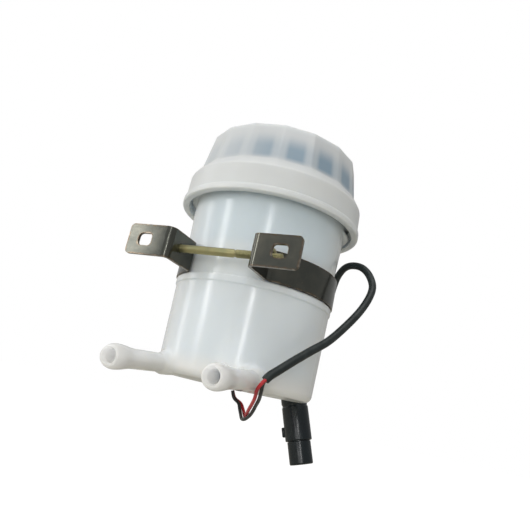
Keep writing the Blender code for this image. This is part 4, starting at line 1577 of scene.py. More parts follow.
@dataclass
class Cap(SubAssembly):
    """The screw cap, with a faceted grip over a smooth skirt, the rubber diaphragm and its slip plate."""

    seat_z: float = 0.0960
    skirt_bore_r: float = 0.0420
    skirt_r: float = 0.0444
    lip_proud: float = 0.0008
    lip_h: float = 0.0028
    skirt_depth: float = 0.0137
    shoulder_drop: float = 0.0007
    flats: int = 16
    phase: float = math.radians(-2.0)
    grip_rise: float = 0.0050
    grip_foot_r: float = 0.0407
    grip_top_r: float = 0.0376
    grip_h: float = 0.0191
    corner_r: float = 0.0026
    facet_drop: float = 0.0035
    facet_rise: float = 0.0032
    crown_bore_r: float = 0.0345
    crown_draft: float = 0.0006
    crown_t: float = 0.0024
    recess_r: float = 0.0290
    recess: float = 0.0008
    vent_r: float = 0.0008
    flange_r: float = 0.0379
    flange_z: float = 0.0932
    flange_t: float = 0.0014
    sheet_t: float = 0.0012
    hat_r: float = 0.0325
    hat_h: float = 0.0160
    disc_r: float = 0.0230
    disc_rise: float = 0.0050
    thread_row: float = 0.00030
    crown_row: float = 0.0022
    near: float = 0.0001
    clear: float = 0.0008
    thread_clear: float = 0.0012
    segments: int = 384
    seal_segments: int = 160
    thread: Helix = field(default_factory=lambda: Helix(start_z=0.0859, turns=1.30))

    @property
    def grip_low(self) -> float:
        """The height of the grip's foot."""
        return self.seat_z + self.grip_rise

    @property
    def grip_top(self) -> float:
        """The height of the cap's top."""
        return self.grip_low + self.grip_h

    def outer(self) -> list[Flat]:
        """Returns the outer side, from the vent over the crown and down to the skirt's lip.

        Returns:
            The outline.
        """
        top = self.grip_top
        low = self.seat_z - self.skirt_depth
        shoulder = self.seat_z - self.shoulder_drop
        lip = self.skirt_r + self.lip_proud
        corners = [
            (self.vent_r, top - self.recess, 0.0), (self.recess_r, top - self.recess, 0.0004),
            (self.recess_r + 0.0004, top, 0.0003), (self.grip_top_r, top, 0.0016),
            (self.grip_foot_r, self.grip_low, 0.0016), (self.skirt_r - 0.0003, shoulder + 0.0003, 0.0014),
            (self.skirt_r, low + self.lip_h + 0.0004, 0.0005), (lip, low + self.lip_h, 0.0006),
            (lip, low, 0.0007), (self.skirt_bore_r, low, 0.0004),
        ]
        line = rounded(corners, turn=8.0)[:-1]
        return finer(line, lambda r, z: z > self.seat_z, self.crown_row)

    def inner(self) -> list[Flat]:
        """Returns the inner side, from the skirt's mouth up to the vent.

        Returns:
            The outline.
        """
        low = self.seat_z - self.skirt_depth
        under = self.grip_top - self.crown_t
        corners = [
            (self.skirt_bore_r, low, 0.0), (self.skirt_bore_r, self.seat_z, 0.0004),
            (self.crown_bore_r, self.seat_z, 0.0004), (self.crown_bore_r - self.crown_draft, under, 0.0014),
            (self.vent_r, under, 0.0),
        ]
        wall_r, wall_top = self.skirt_bore_r - self.near, self.seat_z - self.thread_clear
        return finer(rounded(corners), lambda r, z: z < wall_top and r > wall_r, self.thread_row)

    def warp(self, angles: Array, radii: Array, heights: Array) -> Rings:
        """Flattens the grip into its facets and raises the thread inside the skirt.

        Args:
            angles: the angles about the axis.
            radii: the radii there.
            heights: the heights there.

        Returns:
            The changed radii and the heights.
        """
        radius, height = float(radii[0]), float(heights[0])
        if abs(radius - self.skirt_bore_r) < self.near and height < self.seat_z - self.clear:
            return radii - self.thread.lift(angles, heights), heights
        foot = self.grip_low - self.facet_drop
        if radius > self.crown_bore_r + self.clear and height > foot:
            share = min(1.0, (height - foot) / self.facet_rise)
            spacing = math.tau / self.flats
            from_corner = np.abs((angles - self.phase + spacing / 2) % spacing - spacing / 2)
            flat = radius * math.cos(spacing / 2)
            straight = flat / np.cos(spacing / 2 - from_corner)
            hub = (flat - self.corner_r) / math.cos(spacing / 2)
            swing = np.minimum(from_corner, math.asin(0.9 * self.corner_r / hub))
            round_off = hub * np.cos(swing) + np.sqrt(self.corner_r ** 2 - (hub * np.sin(swing)) ** 2)
            in_round = straight * np.sin(from_corner) < self.corner_r * math.sin(spacing / 2)
            faceted = np.where(in_round, round_off, straight)
            return radii + share * (faceted - radii), heights
        return radii, heights

    def diaphragm(self) -> list[Flat]:
        """Returns the diaphragm's closed section: flange, hat, fold and disc.

        Returns:
            The outline.
        """
        low, t = self.flange_z, self.sheet_t
        top, disc = low + self.hat_h, low + self.disc_rise
        fold = (self.hat_r + self.disc_r) / 2
        corners = [
            (0.0, disc + t, 0.0), (self.disc_r - t, disc + t, 0.0012), (fold - t / 2, top - 0.0004, 0.0016),
            (fold + 0.0012, top, 0.0016), (self.hat_r, top, 0.0028), (self.hat_r, low + self.flange_t, 0.0004),
            (self.flange_r, low + self.flange_t, 0.0003), (self.flange_r, low, 0.0003),
            (self.hat_r - 1.5 * t, low, 0.0006), (self.hat_r - t, top - t, 0.0018),
            (fold + 0.0014, top - t, 0.0006), (self.disc_r + 0.0002, disc + 0.0004, 0.0006),
            (self.disc_r - t / 2, disc, 0.0006), (0.0, disc, 0.0),
        ]
        return rounded(corners)

    def build(self, shop: Workshop) -> None:
        """Builds the cap and the diaphragm, and dresses the slip plate.

        Args:
            shop: the workshop.
        """
        shell = Blank().lathe([*self.outer(), *self.inner()], self.segments, closed=True, warp=self.warp)
        cap = shop.smooth(shop.raw("cap_shell", shell), 28.0)
        shop.finished(cap, CAP_PLASTIC, ["screw_cap"], Body.CAP)
        seal = shop.smooth(shop.raw("diaphragm", Blank().lathe(self.diaphragm(), self.seal_segments)))
        shop.finished(seal, DIAPHRAGM_RUBBER, ["cap_diaphragm"], Body.SEAL)
        shop.dress("diaphragm_plate", INSIDE_WHITE)


# Level switch


@dataclass
class LevelSwitch(SubAssembly):
    """The float, its magnet and stop, and the dry side of the switch in the post."""

    dressing: dict[str, Finish] = field(default_factory=lambda: {
        "float": FLOAT_FOAM,
        "float_magnet": MAGNET_FERRITE,
        "float_stop": CLIP_STEEL,
        "switch_carrier": INSIDE_WHITE,
        "reed_switch": CAPSULE_GLASS,
    })
    plug_r: float = 0.0049
    plug_top: float = 0.0055
    plug_proud: float = 0.0009
    dimple_r: float = 0.0022
    dimple_floor_r: float = 0.0019

    def build(self, shop: Workshop) -> None:
        """Dresses the solids inside and builds the plug that the wires leave.

        Args:
            shop: the workshop.
        """
        for node, finish in self.dressing.items():
            shop.dress(node, finish)
        proud = self.plug_proud
        blank = Blank().lathe(rounded([
            (0.0, self.plug_top, 0.0), (self.plug_r, self.plug_top, 0.0003), (self.plug_r, -0.3 * proud, 0.0004),
            (self.plug_r - proud, -proud, 0.0004), (self.dimple_r, -proud, 0.0002),
            (self.dimple_floor_r, -0.5 * proud, 0.0002), (0.0, -0.5 * proud, 0.0),
        ]), SMALL_ROUND)
        plug = shop.smooth(shop.raw("post_seal", blank))
        shop.finished(plug, PLUG_RUBBER, ["post_plug"])


# Clamp


@dataclass
class Clamp(SubAssembly):
    """The folded clamp band and the long screw that draws its legs together."""

    band_t: float = 0.0015
    band_w: float = 0.0138
    band_z: float = 0.0522
    strap_r: float = 0.03825
    leg_gap: float = 0.0369
    tab_length: float = 0.0220
    tab_face_y: float = 0.0540
    tab_corner: float = 0.0020
    root_bend: float = 0.0025
    tab_bend: float = 0.0020
    slot_w: float = 0.0068
    slot_h: float = 0.0056
    slot_round: float = 0.0018
    slot_from_end: float = 0.0088
    edge: float = 0.00022
    bolt_r: float = 0.0018
    bolt_y: float = 0.0452
    gap: float = 0.0003
    head_flats: float = 0.0070
    head_h: float = 0.0028
    nut_h: float = 0.0032
    tail: float = 0.0040
    washer_r: float = 0.0044
    washer_t: float = 0.0008
    spring_r: float = 0.0038
    spring_t: float = 0.0010
    spring_split: float = 0.0008
    spring_lean: float = math.radians(25)
    washer_round: float = 0.00015
    thread_pitch: float = 0.0007
    thread_length: float = 0.0210
    thread_h: float = 0.00028
    bolt_end: float = 0.0003
    bolt_segments: int = 40
    nut_edge: float = 0.0003
    face_share: float = 0.97
    chamfer_slope: float = 0.55
    cutter_half: float = 0.004
    strap_steps: int = 80
    root_steps: int = 14
    bend_steps: int = 12
    corner_steps: int = 8

    def stations(self) -> list[Place]:
        """Returns half of the strip, back to tab end: its middle line with the half width there.

        Returns:
            X, Y and the half width at each station.
        """
        half = self.band_w / 2
        leg_x = self.leg_gap / 2 + self.band_t / 2
        root = self.root_bend + self.band_t / 2
        bend = self.tab_bend + self.band_t / 2
        root_x = leg_x + root
        root_y = -math.sqrt((self.strap_r + root) ** 2 - root_x ** 2)
        meet = math.atan2(root_y, root_x)
        tab_y = -self.tab_face_y + self.band_t / 2
        end_x = self.leg_gap / 2 + self.tab_length
        line = arc((0, 0), self.strap_r, math.pi / 2, meet, self.strap_steps)
        line += arc((root_x, root_y), root, meet + math.pi, math.pi, self.root_steps)[1:]
        line += arc((leg_x + bend, tab_y + bend), bend, math.pi, 1.5 * math.pi, self.bend_steps)
        stations = [(x, y, half) for x, y in line]
        for step in range(self.corner_steps + 1):
            angle = math.pi / 2 * step / self.corner_steps
            x = end_x - self.tab_corner + self.tab_corner * math.sin(angle)
            stations.append((x, tab_y, half - self.tab_corner + self.tab_corner * math.cos(angle)))
        return stations

    def band(self, shop: Workshop) -> Piece:
        """Folds the strip, cuts its slots and bolt holes and rounds its cut edges.

        Args:
            shop: the workshop.

        Returns:
            The band.
        """
        stations = self.stations()
        mesh = bpy.data.meshes.new("clamp_strap")
        points = []
        for x, y, half in stations:
            points += [(x, y, self.band_z - half), (x, y, self.band_z + half)]
        faces = [(2 * i, 2 * i + 1, 2 * i + 3, 2 * i + 2) for i in range(len(stations) - 1)]
        mesh.from_pydata(points, [], faces)
        mesh.transform(TANK_PLACE)
        band = bpy.data.objects.new("clamp_strap", mesh)
        shop.shelf.objects.link(band)
        mirror = band.modifiers.new("other half", "MIRROR")
        mirror.merge_threshold = 0.00001
        skin = band.modifiers.new("sheet", "SOLIDIFY")
        skin.thickness = self.band_t
        skin.offset = 0.0
        skin.use_even_offset = True
        bpy.context.view_layer.update()
        shop.modified(band)
        slot_x = self.leg_gap / 2 + self.tab_length - self.slot_from_end
        across, up = self.slot_w / 2 - self.slot_round, self.slot_h / 2 - self.slot_round
        for side in (-1, 1):
            slot = Blank()
            corner = arc((across, up), self.slot_round, 0.0, math.pi / 2, self.corner_steps)
            outline = [(x, -z) for x, z in reversed(corner)] + corner
            outline += [(-x, -z) for x, z in outline]
            count = len(outline)
            for y in (-self.cutter_half, self.cutter_half):
                slot.add_points(np.array([(x, y, z) for x, z in outline]))
            slot.faces.append(tuple(range(count)))
            slot.faces.append(tuple(reversed(range(count, 2 * count))))
            for i in range(count):
                after = (i + 1) % count
                slot.faces.append((i, i + count, after + count, after))
            at = TANK_PLACE @ Matrix.Translation((side * slot_x, -self.tab_face_y, self.band_z))
            shop.carve(band, shop.raw("slot", slot, at), solver=Solver.EXACT)
            hole = Blank().rod(self.bolt_r + self.gap, self.cutter_half, -self.cutter_half, HOLE_ROUND)
            at = self.screw_place(side * (self.leg_gap / 2 + self.band_t / 2))
            shop.carve(band, shop.raw("hole", hole, at), solver=Solver.EXACT)
        return shop.soften(band, self.edge, 3, 32.0)

    def screw_place(self, x: float) -> Matrix:
        """Returns the matrix that lays a turned piece along the screw, its +Z towards +X, from x."""
        shift = Matrix.Translation((x, -self.bolt_y, self.band_z))
        return TANK_PLACE @ shift @ Matrix.Rotation(math.pi / 2, 4, "Y")

    def hexagon(self, height: float, bore: float, chamfers: tuple[bool, bool]) -> Blank:
        """Returns a chamfered hexagon from z = 0 to its height.

        Args:
            height: its height.
            bore: its hole's radius, or 0.
            chamfers: whether its top and its bottom are chamfered.

        Returns:
            The blank.
        """
        flat = self.head_flats / 2
        circle = flat * self.face_share

        def warp(angles: Array, radii: Array, heights: Array) -> Rings:
            """Turns the outer rings into a hexagon whose corners are cut by a cone.

            Args:
                angles: the angles about the axis.
                radii: the radii there.
                heights: the heights there.

            Returns:
                The changed radii and heights.
            """
            if radii[0] < flat * 0.99:
                return radii, heights
            off = (angles + math.pi / 6) % (math.pi / 3) - math.pi / 6
            hexed = flat / np.cos(off)
            cut = (hexed - circle) * self.chamfer_slope
            top = heights[0] > height / 2
            if not chamfers[0 if top else 1]:
                return hexed, heights
            return hexed, heights + (-cut if top else cut)

        outline = [(circle, height), (flat, height), (flat, 0.0), (circle, 0.0)]
        if bore > 0:
            edge = self.nut_edge
            outline += [(bore + edge, 0.0), (bore, edge), (bore, height - edge), (bore + edge, height)]
            return Blank().lathe(outline, LARGE_ROUND, closed=True, warp=warp)
        return Blank().lathe([(0.0, height), *outline, (0.0, 0.0)], LARGE_ROUND, warp=warp)

    def screw(self, shop: Workshop) -> None:
        """Builds the bolt with its rolled thread, its washers and its nut.

        Args:
            shop: the workshop.
        """
        outside = self.leg_gap / 2 + self.band_t + self.gap
        spring_x = outside + self.washer_t + self.gap
        nut_x = spring_x + self.spring_t + self.gap
        tail = nut_x + self.nut_h + self.tail
        start = -outside - self.head_h / 2
        length = tail - start
        thread_low = length - self.thread_length
        ridge = Helix(start_z=thread_low, turns=self.thread_length / self.thread_pitch, pitch=self.thread_pitch,
                      height=self.thread_h, base=0.00035, crest=0.00003, fade=0.6)
        root_r = self.bolt_r - self.thread_h

        def warp(angles: Array, radii: Array, heights: Array) -> Rings:
            """Rolls the thread on the far end of the shank.

            Args:
                angles: the angles about the axis.
                radii: the radii there.
                heights: the heights there.

            Returns:
                The changed radii and the heights.
            """
            if heights[0] < thread_low - self.thread_pitch or radii[0] < root_r - 0.00001:
                return radii, heights
            return root_r + ridge.lift(angles, heights), heights

        rows = np.arange(length - 0.0004, thread_low - self.thread_pitch, -self.thread_pitch / 8)
        outline = [(0.0, length), (root_r - self.bolt_end, length), (root_r, length - self.bolt_end)]
        outline += [(root_r, float(z)) for z in rows]
        outline += [(self.bolt_r, thread_low - self.thread_pitch * 1.6), (self.bolt_r, 0.0), (0.0, 0.0)]
        shank = Blank().lathe(outline, self.bolt_segments, warp=warp)
        bolt = shop.raw("clamp_screw", shank, self.screw_place(start))
        head = self.hexagon(self.head_h, 0.0, (False, True))
        shop.carve(bolt, shop.raw("head", head, self.screw_place(-outside - self.head_h)), Carving.JOIN)
        shop.smooth(bolt, 40.0)
        shop.finished(bolt, SCREW_ZINC, ["clamp_bolt"])
        clear = self.bolt_r + self.gap
        nut = shop.smooth(shop.raw("hex_nut", self.hexagon(self.nut_h, clear, (True, True)), self.screw_place(nut_x)))
        shop.finished(nut, SCREW_ZINC, ["clamp_nut"])
        for name, node, radius, thick, x in (
            ("flat_washer", "clamp_washer", self.washer_r, self.washer_t, outside),
            ("spring_washer", "clamp_spring_washer", self.spring_r, self.spring_t, spring_x),
        ):
            section = ((clear, thick), (radius, thick), (radius, 0.0), (clear, 0.0))
            outline = rounded([(r, z, self.washer_round) for r, z in section], closed=True, turn=45.0)
            ring = Blank().lathe(outline, SMALL_ROUND, closed=True)
            washer = shop.raw(name, ring, self.screw_place(x))
            if node == "clamp_spring_washer":
                split = Blank().box((0.01, self.spring_split, 0.004), (0.0, 0.0, 0.0))
                lean = Matrix.Translation((x + thick / 2, -self.bolt_y, self.band_z + self.spring_r))
                twist = Matrix.Rotation(self.spring_lean, 4, "Z")
                shop.carve(washer, shop.raw("split", split, TANK_PLACE @ lean @ twist))
            shop.smooth(washer, 50.0)
            shop.finished(washer, SCREW_ZINC, [node])

    def build(self, shop: Workshop) -> None:
        """Builds and dresses the band and its screw.

        Args:
            shop: the workshop.
        """
        shop.finished(self.band(shop), BAND_STEEL, ["clamp_band"])
        self.screw(shop)


# Lead and connector


@dataclass
class Connector(SubAssembly):
    """The round two-way connector, along its own axis from the top of its housing down."""

    top: Place = (0.01505, 0.0440, 0.0045)
    tilt: float = math.radians(18.9)
    housing_r: float = 0.0069
    length: float = 0.0240
    bore_r: float = 0.0057
    bore: float = 0.0100
    neck_r: float = 0.0044
    latch_w: float = 0.0040
    latch_l: float = 0.0050
    latch_proud: float = 0.0013
    slit: Place = (0.0016, 0.0004, 0.0100)
    slit_z: float = -0.0170
    slit_off: float = 0.0006
    groove_top: float = -0.0052
    groove_foot: float = -0.0070
    groove_side: float = 0.0004
    groove_depth: float = 0.00035
    nose_shank: float = 0.0085
    nose_r: float = 0.00605
    nose_out: float = 0.0113
    mouth_r: float = 0.0044
    mouth_depth: float = 0.0130
    pin_r: float = 0.0008
    pin_spread: float = 0.0020
    pin_cut: float = 0.02
    key: Place = (0.0012, 0.0010, 0.0070)
    key_up: float = 0.0046
    boot_r: float = 0.0038
    boot_l: float = 0.0070
    boot_rings: int = 4
    ring_depth: float = 0.0005
    ring_foot: float = 0.0008
    sleeve_r: float = 0.0018
    gap: float = 0.0003

    @property
    def place(self) -> Matrix:
        """The matrix from the connector's own axis to the part's frame."""
        return TANK_PLACE @ Matrix.Translation(self.top) @ Matrix.Rotation(-self.tilt, 4, "Y")

    def housing(self, shop: Workshop) -> Piece:
        """Builds the housing with its groove, its latch hook and the slits beside the hook's tongue.

        Args:
            shop: the workshop.

        Returns:
            The housing.
        """
        edge = 0.1 * self.housing_r
        step = self.bore - self.length
        groove_r = self.housing_r - self.groove_depth
        corners = [
            (self.boot_r - edge, 0.0, 0.0002), (self.housing_r - 2 * edge, 0.0, 0.0004),
            (self.housing_r, -2 * edge, 0.0009), (self.housing_r, self.groove_top, 0.0002),
            (groove_r, self.groove_top - self.groove_side, 0.0002),
            (groove_r, self.groove_foot + self.groove_side, 0.0002), (self.housing_r, self.groove_foot, 0.0002),
            (self.housing_r, -self.length, 0.0006), (self.bore_r, -self.length, 0.0003),
            (self.bore_r, step, 0.0), (self.neck_r, step, 0.0), (self.neck_r, -self.boot_l / 2 - self.gap, 0.0),
            (self.boot_r - edge, -self.boot_l / 2 - self.gap, 0.0),
        ]
        shell = Blank().lathe(rounded(corners, closed=True), LARGE_ROUND, closed=True)
        housing = shop.raw("connector_shell", shell, self.place)
        latch = Blank().box((2 * self.latch_proud, self.latch_w, self.latch_l), (-self.housing_r, 0.0, 0.0))
        hook = shop.raw("hook", latch, self.place @ Matrix.Translation((0.0, 0.0, self.latch_l - self.length)))
        shop.soften(hook, 0.0005, 3)
        shop.carve(housing, hook, Carving.JOIN)
        for side in (-1, 1):
            centre = (-self.housing_r, side * (self.latch_w / 2 + self.slit_off), self.slit_z)
            slit = Blank().box(self.slit, centre)
            shop.carve(housing, shop.raw("slit", slit, self.place))
        return shop.smooth(housing)

    def nose(self, shop: Workshop) -> Piece:
        """Builds the nose with its mouth, pin holes and key ribs.

        Args:
            shop: the workshop.

        Returns:
            The nose.
        """
        low = -self.length - self.gap - self.nose_out
        shank_r = self.bore_r - self.gap
        shoulder = -self.length - self.gap
        blank = Blank().lathe(rounded([
            (0.0, self.nose_shank - self.length, 0.0), (shank_r, self.nose_shank - self.length, 0.0003),
            (shank_r, shoulder, 0.0), (self.nose_r, shoulder, 0.0003), (self.nose_r, low, 0.0007),
            (self.mouth_r, low, 0.0005), (self.mouth_r, low + self.mouth_depth, 0.0004),
            (0.0, low + self.mouth_depth, 0.0),
        ]), LARGE_ROUND)
        nose = shop.raw("connector_spigot", blank, self.place)
        for side in (-1, 1):
            hole = Blank().rod(self.pin_r + self.gap, self.pin_cut, -self.pin_cut, HOLE_ROUND)
            at = Matrix.Translation((0.0, side * self.pin_spread, low + self.mouth_depth / 2))
            shop.carve(nose, shop.raw("pin_hole", hole, self.place @ at))
        for angle in (0.0, 180.0):
            key = Blank().box(self.key, (self.mouth_r, 0.0, low + self.key_up))
            turn = Matrix.Rotation(math.radians(angle), 4, "Z")
            shop.carve(nose, shop.raw("key", key, self.place @ turn), Carving.JOIN)
        return shop.smooth(nose)

    def boot(self, shop: Workshop) -> Piece:
        """Builds the ringed boot that holds the sleeve.

        Args:
            shop: the workshop.

        Returns:
            The boot.
        """
        edge = 0.1 * self.housing_r
        plug_r = self.boot_r - edge - self.gap
        tip_r = self.sleeve_r + edge
        corners: list[Corner] = [(0.0, self.boot_l, 0.0), (tip_r - 0.0002, self.boot_l, 0.0003)]
        for ring in range(self.boot_rings):
            for part, depth in ((0.15, 0.0), (0.55, 0.0), (0.70, self.ring_depth), (0.92, self.ring_depth)):
                share = (ring + part) / self.boot_rings
                radius = tip_r + (self.boot_r - tip_r) * share
                z = self.boot_l + (self.gap + self.ring_foot - self.boot_l) * share
                corners.append((radius - depth, z, 0.00015))
        corners += [
            (self.boot_r, self.gap + 0.0006, 0.0002), (self.boot_r, self.gap, 0.0002), (plug_r, self.gap, 0.0),
            (plug_r, -self.boot_l / 2, 0.0003), (0.0, -self.boot_l / 2, 0.0),
        ]
        blank = Blank().lathe(rounded(corners, turn=30.0), SMALL_ROUND)
        return shop.smooth(shop.raw("sleeve_boot", blank, self.place), 50.0)

    def build(self, shop: Workshop) -> None:
        """Builds and dresses the connector's pieces.

        Args:
            shop: the workshop.
        """
        shop.finished(self.housing(shop), CONNECTOR_NYLON, ["connector_housing"])
        shop.finished(self.nose(shop), CONNECTOR_NYLON, ["connector_nose"])
        shop.finished(self.boot(shop), PLUG_RUBBER, ["connector_boot"])
        for node in ("contact_a", "contact_b"):
            shop.dress(node, PIN_BRASS)


@dataclass
class Lead(SubAssembly):
    """The two wires from the plug, and the sleeve that they run in, round the tank to the connector."""

    wire_r: float = 0.00075
    sleeve_r: float = 0.0018
    sleeve_bore_r: float = 0.00155
    spread: float = 0.0009
    twist: Flat = (0.28, 0.62)
    steep: float = 0.25
    tucked: int = 2
    wire_row: float = 0.0006
    wire_segments: int = 24
    sleeve_row: float = 0.0011
    sleeve_segments: int = 40
    cut_edge: float = 0.0001
    cut_depth: int = 3
    wires: list[Place] = field(default_factory=lambda: [
        (0.0000, 0.0000, -0.0013), (0.0004, 0.0002, -0.0036), (0.0045, 0.0008, -0.0062),
        (0.0085, -0.0030, -0.0102), (0.0130, -0.0102, -0.0121), (0.0182, -0.0184, -0.0098),
        (0.0229, -0.0260, -0.0057), (0.0262, -0.0322, -0.0032), (0.0284, -0.0372, -0.0004),
        (0.0292, -0.0388, 0.0016), (0.0299, -0.0384, 0.0030),
    ])
    sleeve: list[Place] = field(default_factory=lambda: [
        (0.0304, -0.0380, 0.0041), (0.0314, -0.0371, 0.0060), (0.0340, -0.0340, 0.0095),
        (0.0373, -0.0290, 0.0143), (0.0410, -0.0212, 0.0203), (0.0452, -0.0128, 0.0268),
        (0.0492, -0.0040, 0.0358), (0.0528, 0.0030, 0.0449), (0.0549, 0.0080, 0.0532),
        (0.0547, 0.0121, 0.0600), (0.0514, 0.0155, 0.0664), (0.0465, 0.0185, 0.0708),
        (0.0409, 0.0215, 0.0724), (0.0362, 0.0248, 0.0718), (0.0325, 0.0282, 0.0685),
        (0.0304, 0.0306, 0.0635), (0.0290, 0.0322, 0.0560), (0.0272, 0.0340, 0.0460),
        (0.0240, 0.0365, 0.0350), (0.0190, 0.0400, 0.0278), (0.0140, 0.0428, 0.0222),
        (0.0114, 0.0439, 0.0175), (0.0118, 0.0440, 0.0140), (0.0127, 0.0440, 0.0114),
    ])

    def side_by_side(self, points: Sequence[Vector], shift: float) -> list[Vector]:
        """Returns a route moved sideways, changing sides with half a twist at its middle.

        Args:
            points: the route.
            shift: the distance.

        Returns:
            The moved route.
        """
        moved = []
        start, end = self.twist
        for index, point in enumerate(points):
            ahead = points[min(index + 1, len(points) - 1)] - points[max(index - 1, 0)]
            side = Vector((ahead.y, -ahead.x, 0))
            if side.length < self.steep * ahead.length:
                side = Vector((1, 1, 0))
            share = (index / (len(points) - 1) - start) / (end - start)
            turn = Matrix.Rotation(math.pi * max(0, min(1, share)), 3, ahead)
            moved.append(point + turn @ side.normalized() * shift)
        return moved

    def wire(self, shop: Workshop, name: str, node: str, finish: Finish, slot: str, shift: float) -> Piece:
        """Args:
            shop: the workshop.
            name: the wire's name.
            node: its CAD node.
            finish: its finish.
            slot: not used.
            shift: its shift beside the route.

        Returns:
            The wire.
        """
        route = [*self.wires, *self.sleeve[:self.tucked]]
        coarse = self.side_by_side(smooth_route(route, 5 * self.wire_r), shift)
        line = [p + FOOT for p in smooth_route([tuple(p) for p in coarse], self.wire_row)]
        blank = Blank().sweep(line, [self.wire_r] * len(line), self.wire_segments)
        wire = shop.smooth(shop.raw(name, blank, Matrix.Identity(4)), 50.0)
        shop.finished(wire, finish, [node])
        return wire

    def build(self, shop: Workshop) -> None:
        """Args:
            shop: the workshop.
        """
        self.wire(shop, "wire_red", "lead_red", RED_WIRE, "red_wire", -self.spread)
        self.wire(shop, "wire_black", "lead_black", BLACK_WIRE, "black_wire", self.spread)
        line = [p + FOOT for p in smooth_route(self.sleeve, self.sleeve_row)]
        path = [line[self.cut_depth], line[0], *line]
        radii = [self.sleeve_bore_r] * 2 + [self.sleeve_r - self.cut_edge] + [self.sleeve_r] * (len(line) - 1)
        blank = Blank().sweep(path, radii, self.sleeve_segments)
        sleeve = shop.smooth(shop.raw("sleeve", blank, Matrix.Identity(4)), 50.0)
        shop.finished(sleeve, SLEEVE_VINYL, ["lead_sleeve"])


# Studio


@dataclass(frozen=True)
class Softbox:
    """One soft light, placed by the direction that it shines from and its distance from the part."""

    name: str
    azimuth: float
    elevation: float
    size: Flat
    radiance: float
    distance: float = 1.0
    aim: Place = (0.0, 0.040, -0.010)

    def build(self) -> None:
        """Hangs the light."""
        lamp = bpy.data.lights.new(self.name, "AREA")
        lamp.shape = "RECTANGLE"
        lamp.size, lamp.size_y = self.size
        lamp.energy = self.radiance * math.pi * self.size[0] * self.size[1]
        obj = bpy.data.objects.new(self.name, lamp)
        bpy.context.scene.collection.objects.link(obj)
        azimuth, elevation = math.radians(self.azimuth), math.radians(self.elevation)
        away = Vector((math.cos(azimuth) * math.cos(elevation), math.sin(azimuth) * math.cos(elevation),
                       math.sin(elevation)))
        turn = away.to_track_quat("Z", "Y").to_matrix().to_4x4()
        obj.matrix_world = Matrix.Translation(Vector(self.aim) + away * self.distance) @ turn


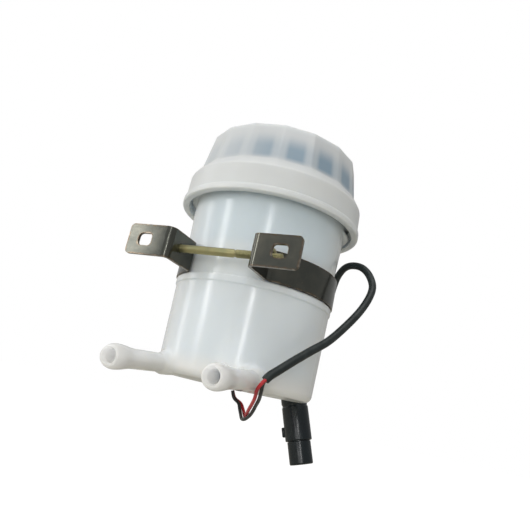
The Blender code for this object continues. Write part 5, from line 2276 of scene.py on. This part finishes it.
@dataclass
class Studio(SubAssembly):
    """Floor, lights, the white room about them and the camera at the photograph's viewing angle."""

    floor_z: float = -0.150
    floor_r: float = 6.0
    floor_t: float = 0.01
    azimuth: float = math.radians(24.46)
    elevation: float = math.radians(-14.92)
    roll: float = math.radians(12.49)
    distance: float = 0.26911
    target_right: float = 0.00211
    target_up: float = 0.06203
    focal_pixels: float = 535.25
    clip: Flat = (0.005, 50.0)
    sky_dim: float = 0.38
    sky_bright: float = 0.64
    sky_side: Place = (-0.78, -0.60, 0.17)
    sky_span: Flat = (-0.5, 0.9)
    lights: tuple[Softbox, ...] = (
        Softbox("window_left", -166.0, 12.0, (0.17, 0.70), 2.5),
        Softbox("window_front", -131.5, 14.0, (0.15, 0.44), 6.6),
        Softbox("fill_low", -82.0, -2.5, (0.56, 0.17), 2.7),
        Softbox("lamp_strip", -66.0, 8.0, (0.06, 0.30), 16.0, distance=0.9),
        Softbox("ceiling", -60.0, 62.0, (0.80, 0.80), 1.6),
    )

    def camera(self) -> None:
        """Sets up the camera."""
        sin_a, cos_a = math.sin(self.azimuth), math.cos(self.azimuth)
        sin_e, cos_e = math.sin(self.elevation), math.cos(self.elevation)
        back = Vector((sin_a * cos_e, -cos_a * cos_e, sin_e))
        right = Vector((cos_a, sin_a, 0.0))
        up = back.cross(right)
        sin_r, cos_r = math.sin(self.roll), math.cos(self.roll)
        turned_right = right * cos_r + up * sin_r
        turned_up = up * cos_r - right * sin_r
        target = FOOT + right * self.target_right + Vector((0.0, 0.0, self.target_up))
        eye = target + back * self.distance
        data = bpy.data.cameras.new("photo_camera")
        data.sensor_width = SENSOR_WIDTH
        data.lens = self.focal_pixels * SENSOR_WIDTH / PHOTO_PIXELS
        data.clip_start, data.clip_end = self.clip
        obj = bpy.data.objects.new("photo_camera", data)
        bpy.context.scene.collection.objects.link(obj)
        turn = Matrix((turned_right, turned_up, back)).transposed().to_4x4()
        obj.matrix_world = Matrix.Translation(eye) @ turn
        bpy.context.scene.camera = obj

    def world(self) -> None:
        """Lights the room more from the window's side, and shows plain white behind the part."""
        world = bpy.data.worlds.new("studio")
        world.use_nodes = True
        nodes, links = world.node_tree.nodes, world.node_tree.links
        light = nodes["Background"]
        light.inputs["Color"].default_value = (1.0, 1.0, 1.0, 1.0)
        direction = nodes.new("ShaderNodeTexCoord").outputs["Generated"]
        facing = nodes.new("ShaderNodeVectorMath")
        facing.operation = "DOT_PRODUCT"
        facing.inputs[1].default_value = Vector(self.sky_side).normalized()
        links.new(direction, facing.inputs[0])
        fade = nodes.new("ShaderNodeMapRange")
        fade.interpolation_type = "SMOOTHSTEP"
        for name, value in zip(("From Min", "From Max", "To Min", "To Max"),
                               (*self.sky_span, self.sky_dim, self.sky_bright)):
            fade.inputs[name].default_value = value
        links.new(facing.outputs["Value"], fade.inputs["Value"])
        links.new(fade.outputs[0], light.inputs["Strength"])
        shown = nodes.new("ShaderNodeBackground")
        shown.inputs["Color"].default_value = (1.0, 1.0, 1.0, 1.0)
        shown.inputs["Strength"].default_value = 1.0
        path = nodes.new("ShaderNodeLightPath")
        choice = nodes.new("ShaderNodeMixShader")
        links.new(path.outputs["Is Camera Ray"], choice.inputs[0])
        links.new(light.outputs[0], choice.inputs[1])
        links.new(shown.outputs[0], choice.inputs[2])
        links.new(choice.outputs[0], nodes["World Output"].inputs["Surface"])
        bpy.context.scene.world = world

    def build(self, shop: Workshop) -> None:
        """Sets up floor, lights, world and camera.

        Args:
            shop: the workshop.
        """
        blank = Blank().rod(self.floor_r, 0.0, -self.floor_t, LARGE_ROUND)
        floor = shop.raw("studio_floor", blank, Matrix.Translation((0.0, 0.0, self.floor_z)))
        floor.data.materials.append(STUDIO_PAPER.material())
        for light in self.lights:
            light.build()
        self.world()
        self.camera()
        bpy.context.scene.view_settings.view_transform = "Standard"
        LOG.info("studio: %d lights", len(self.lights))


def main() -> None:
    """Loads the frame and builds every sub-assembly in order."""
    logging.basicConfig(level=logging.INFO, format="%(name)s: %(message)s")
    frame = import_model()
    shop = Workshop(frame["nodes"])
    for part in (Studio(), Connector(), Lead(), Tank(), Cap(), LevelSwitch(), Clamp()):
        part.build(shop)
        LOG.info("%s done", type(part).__name__)


if __name__ == "__main__":
    main()
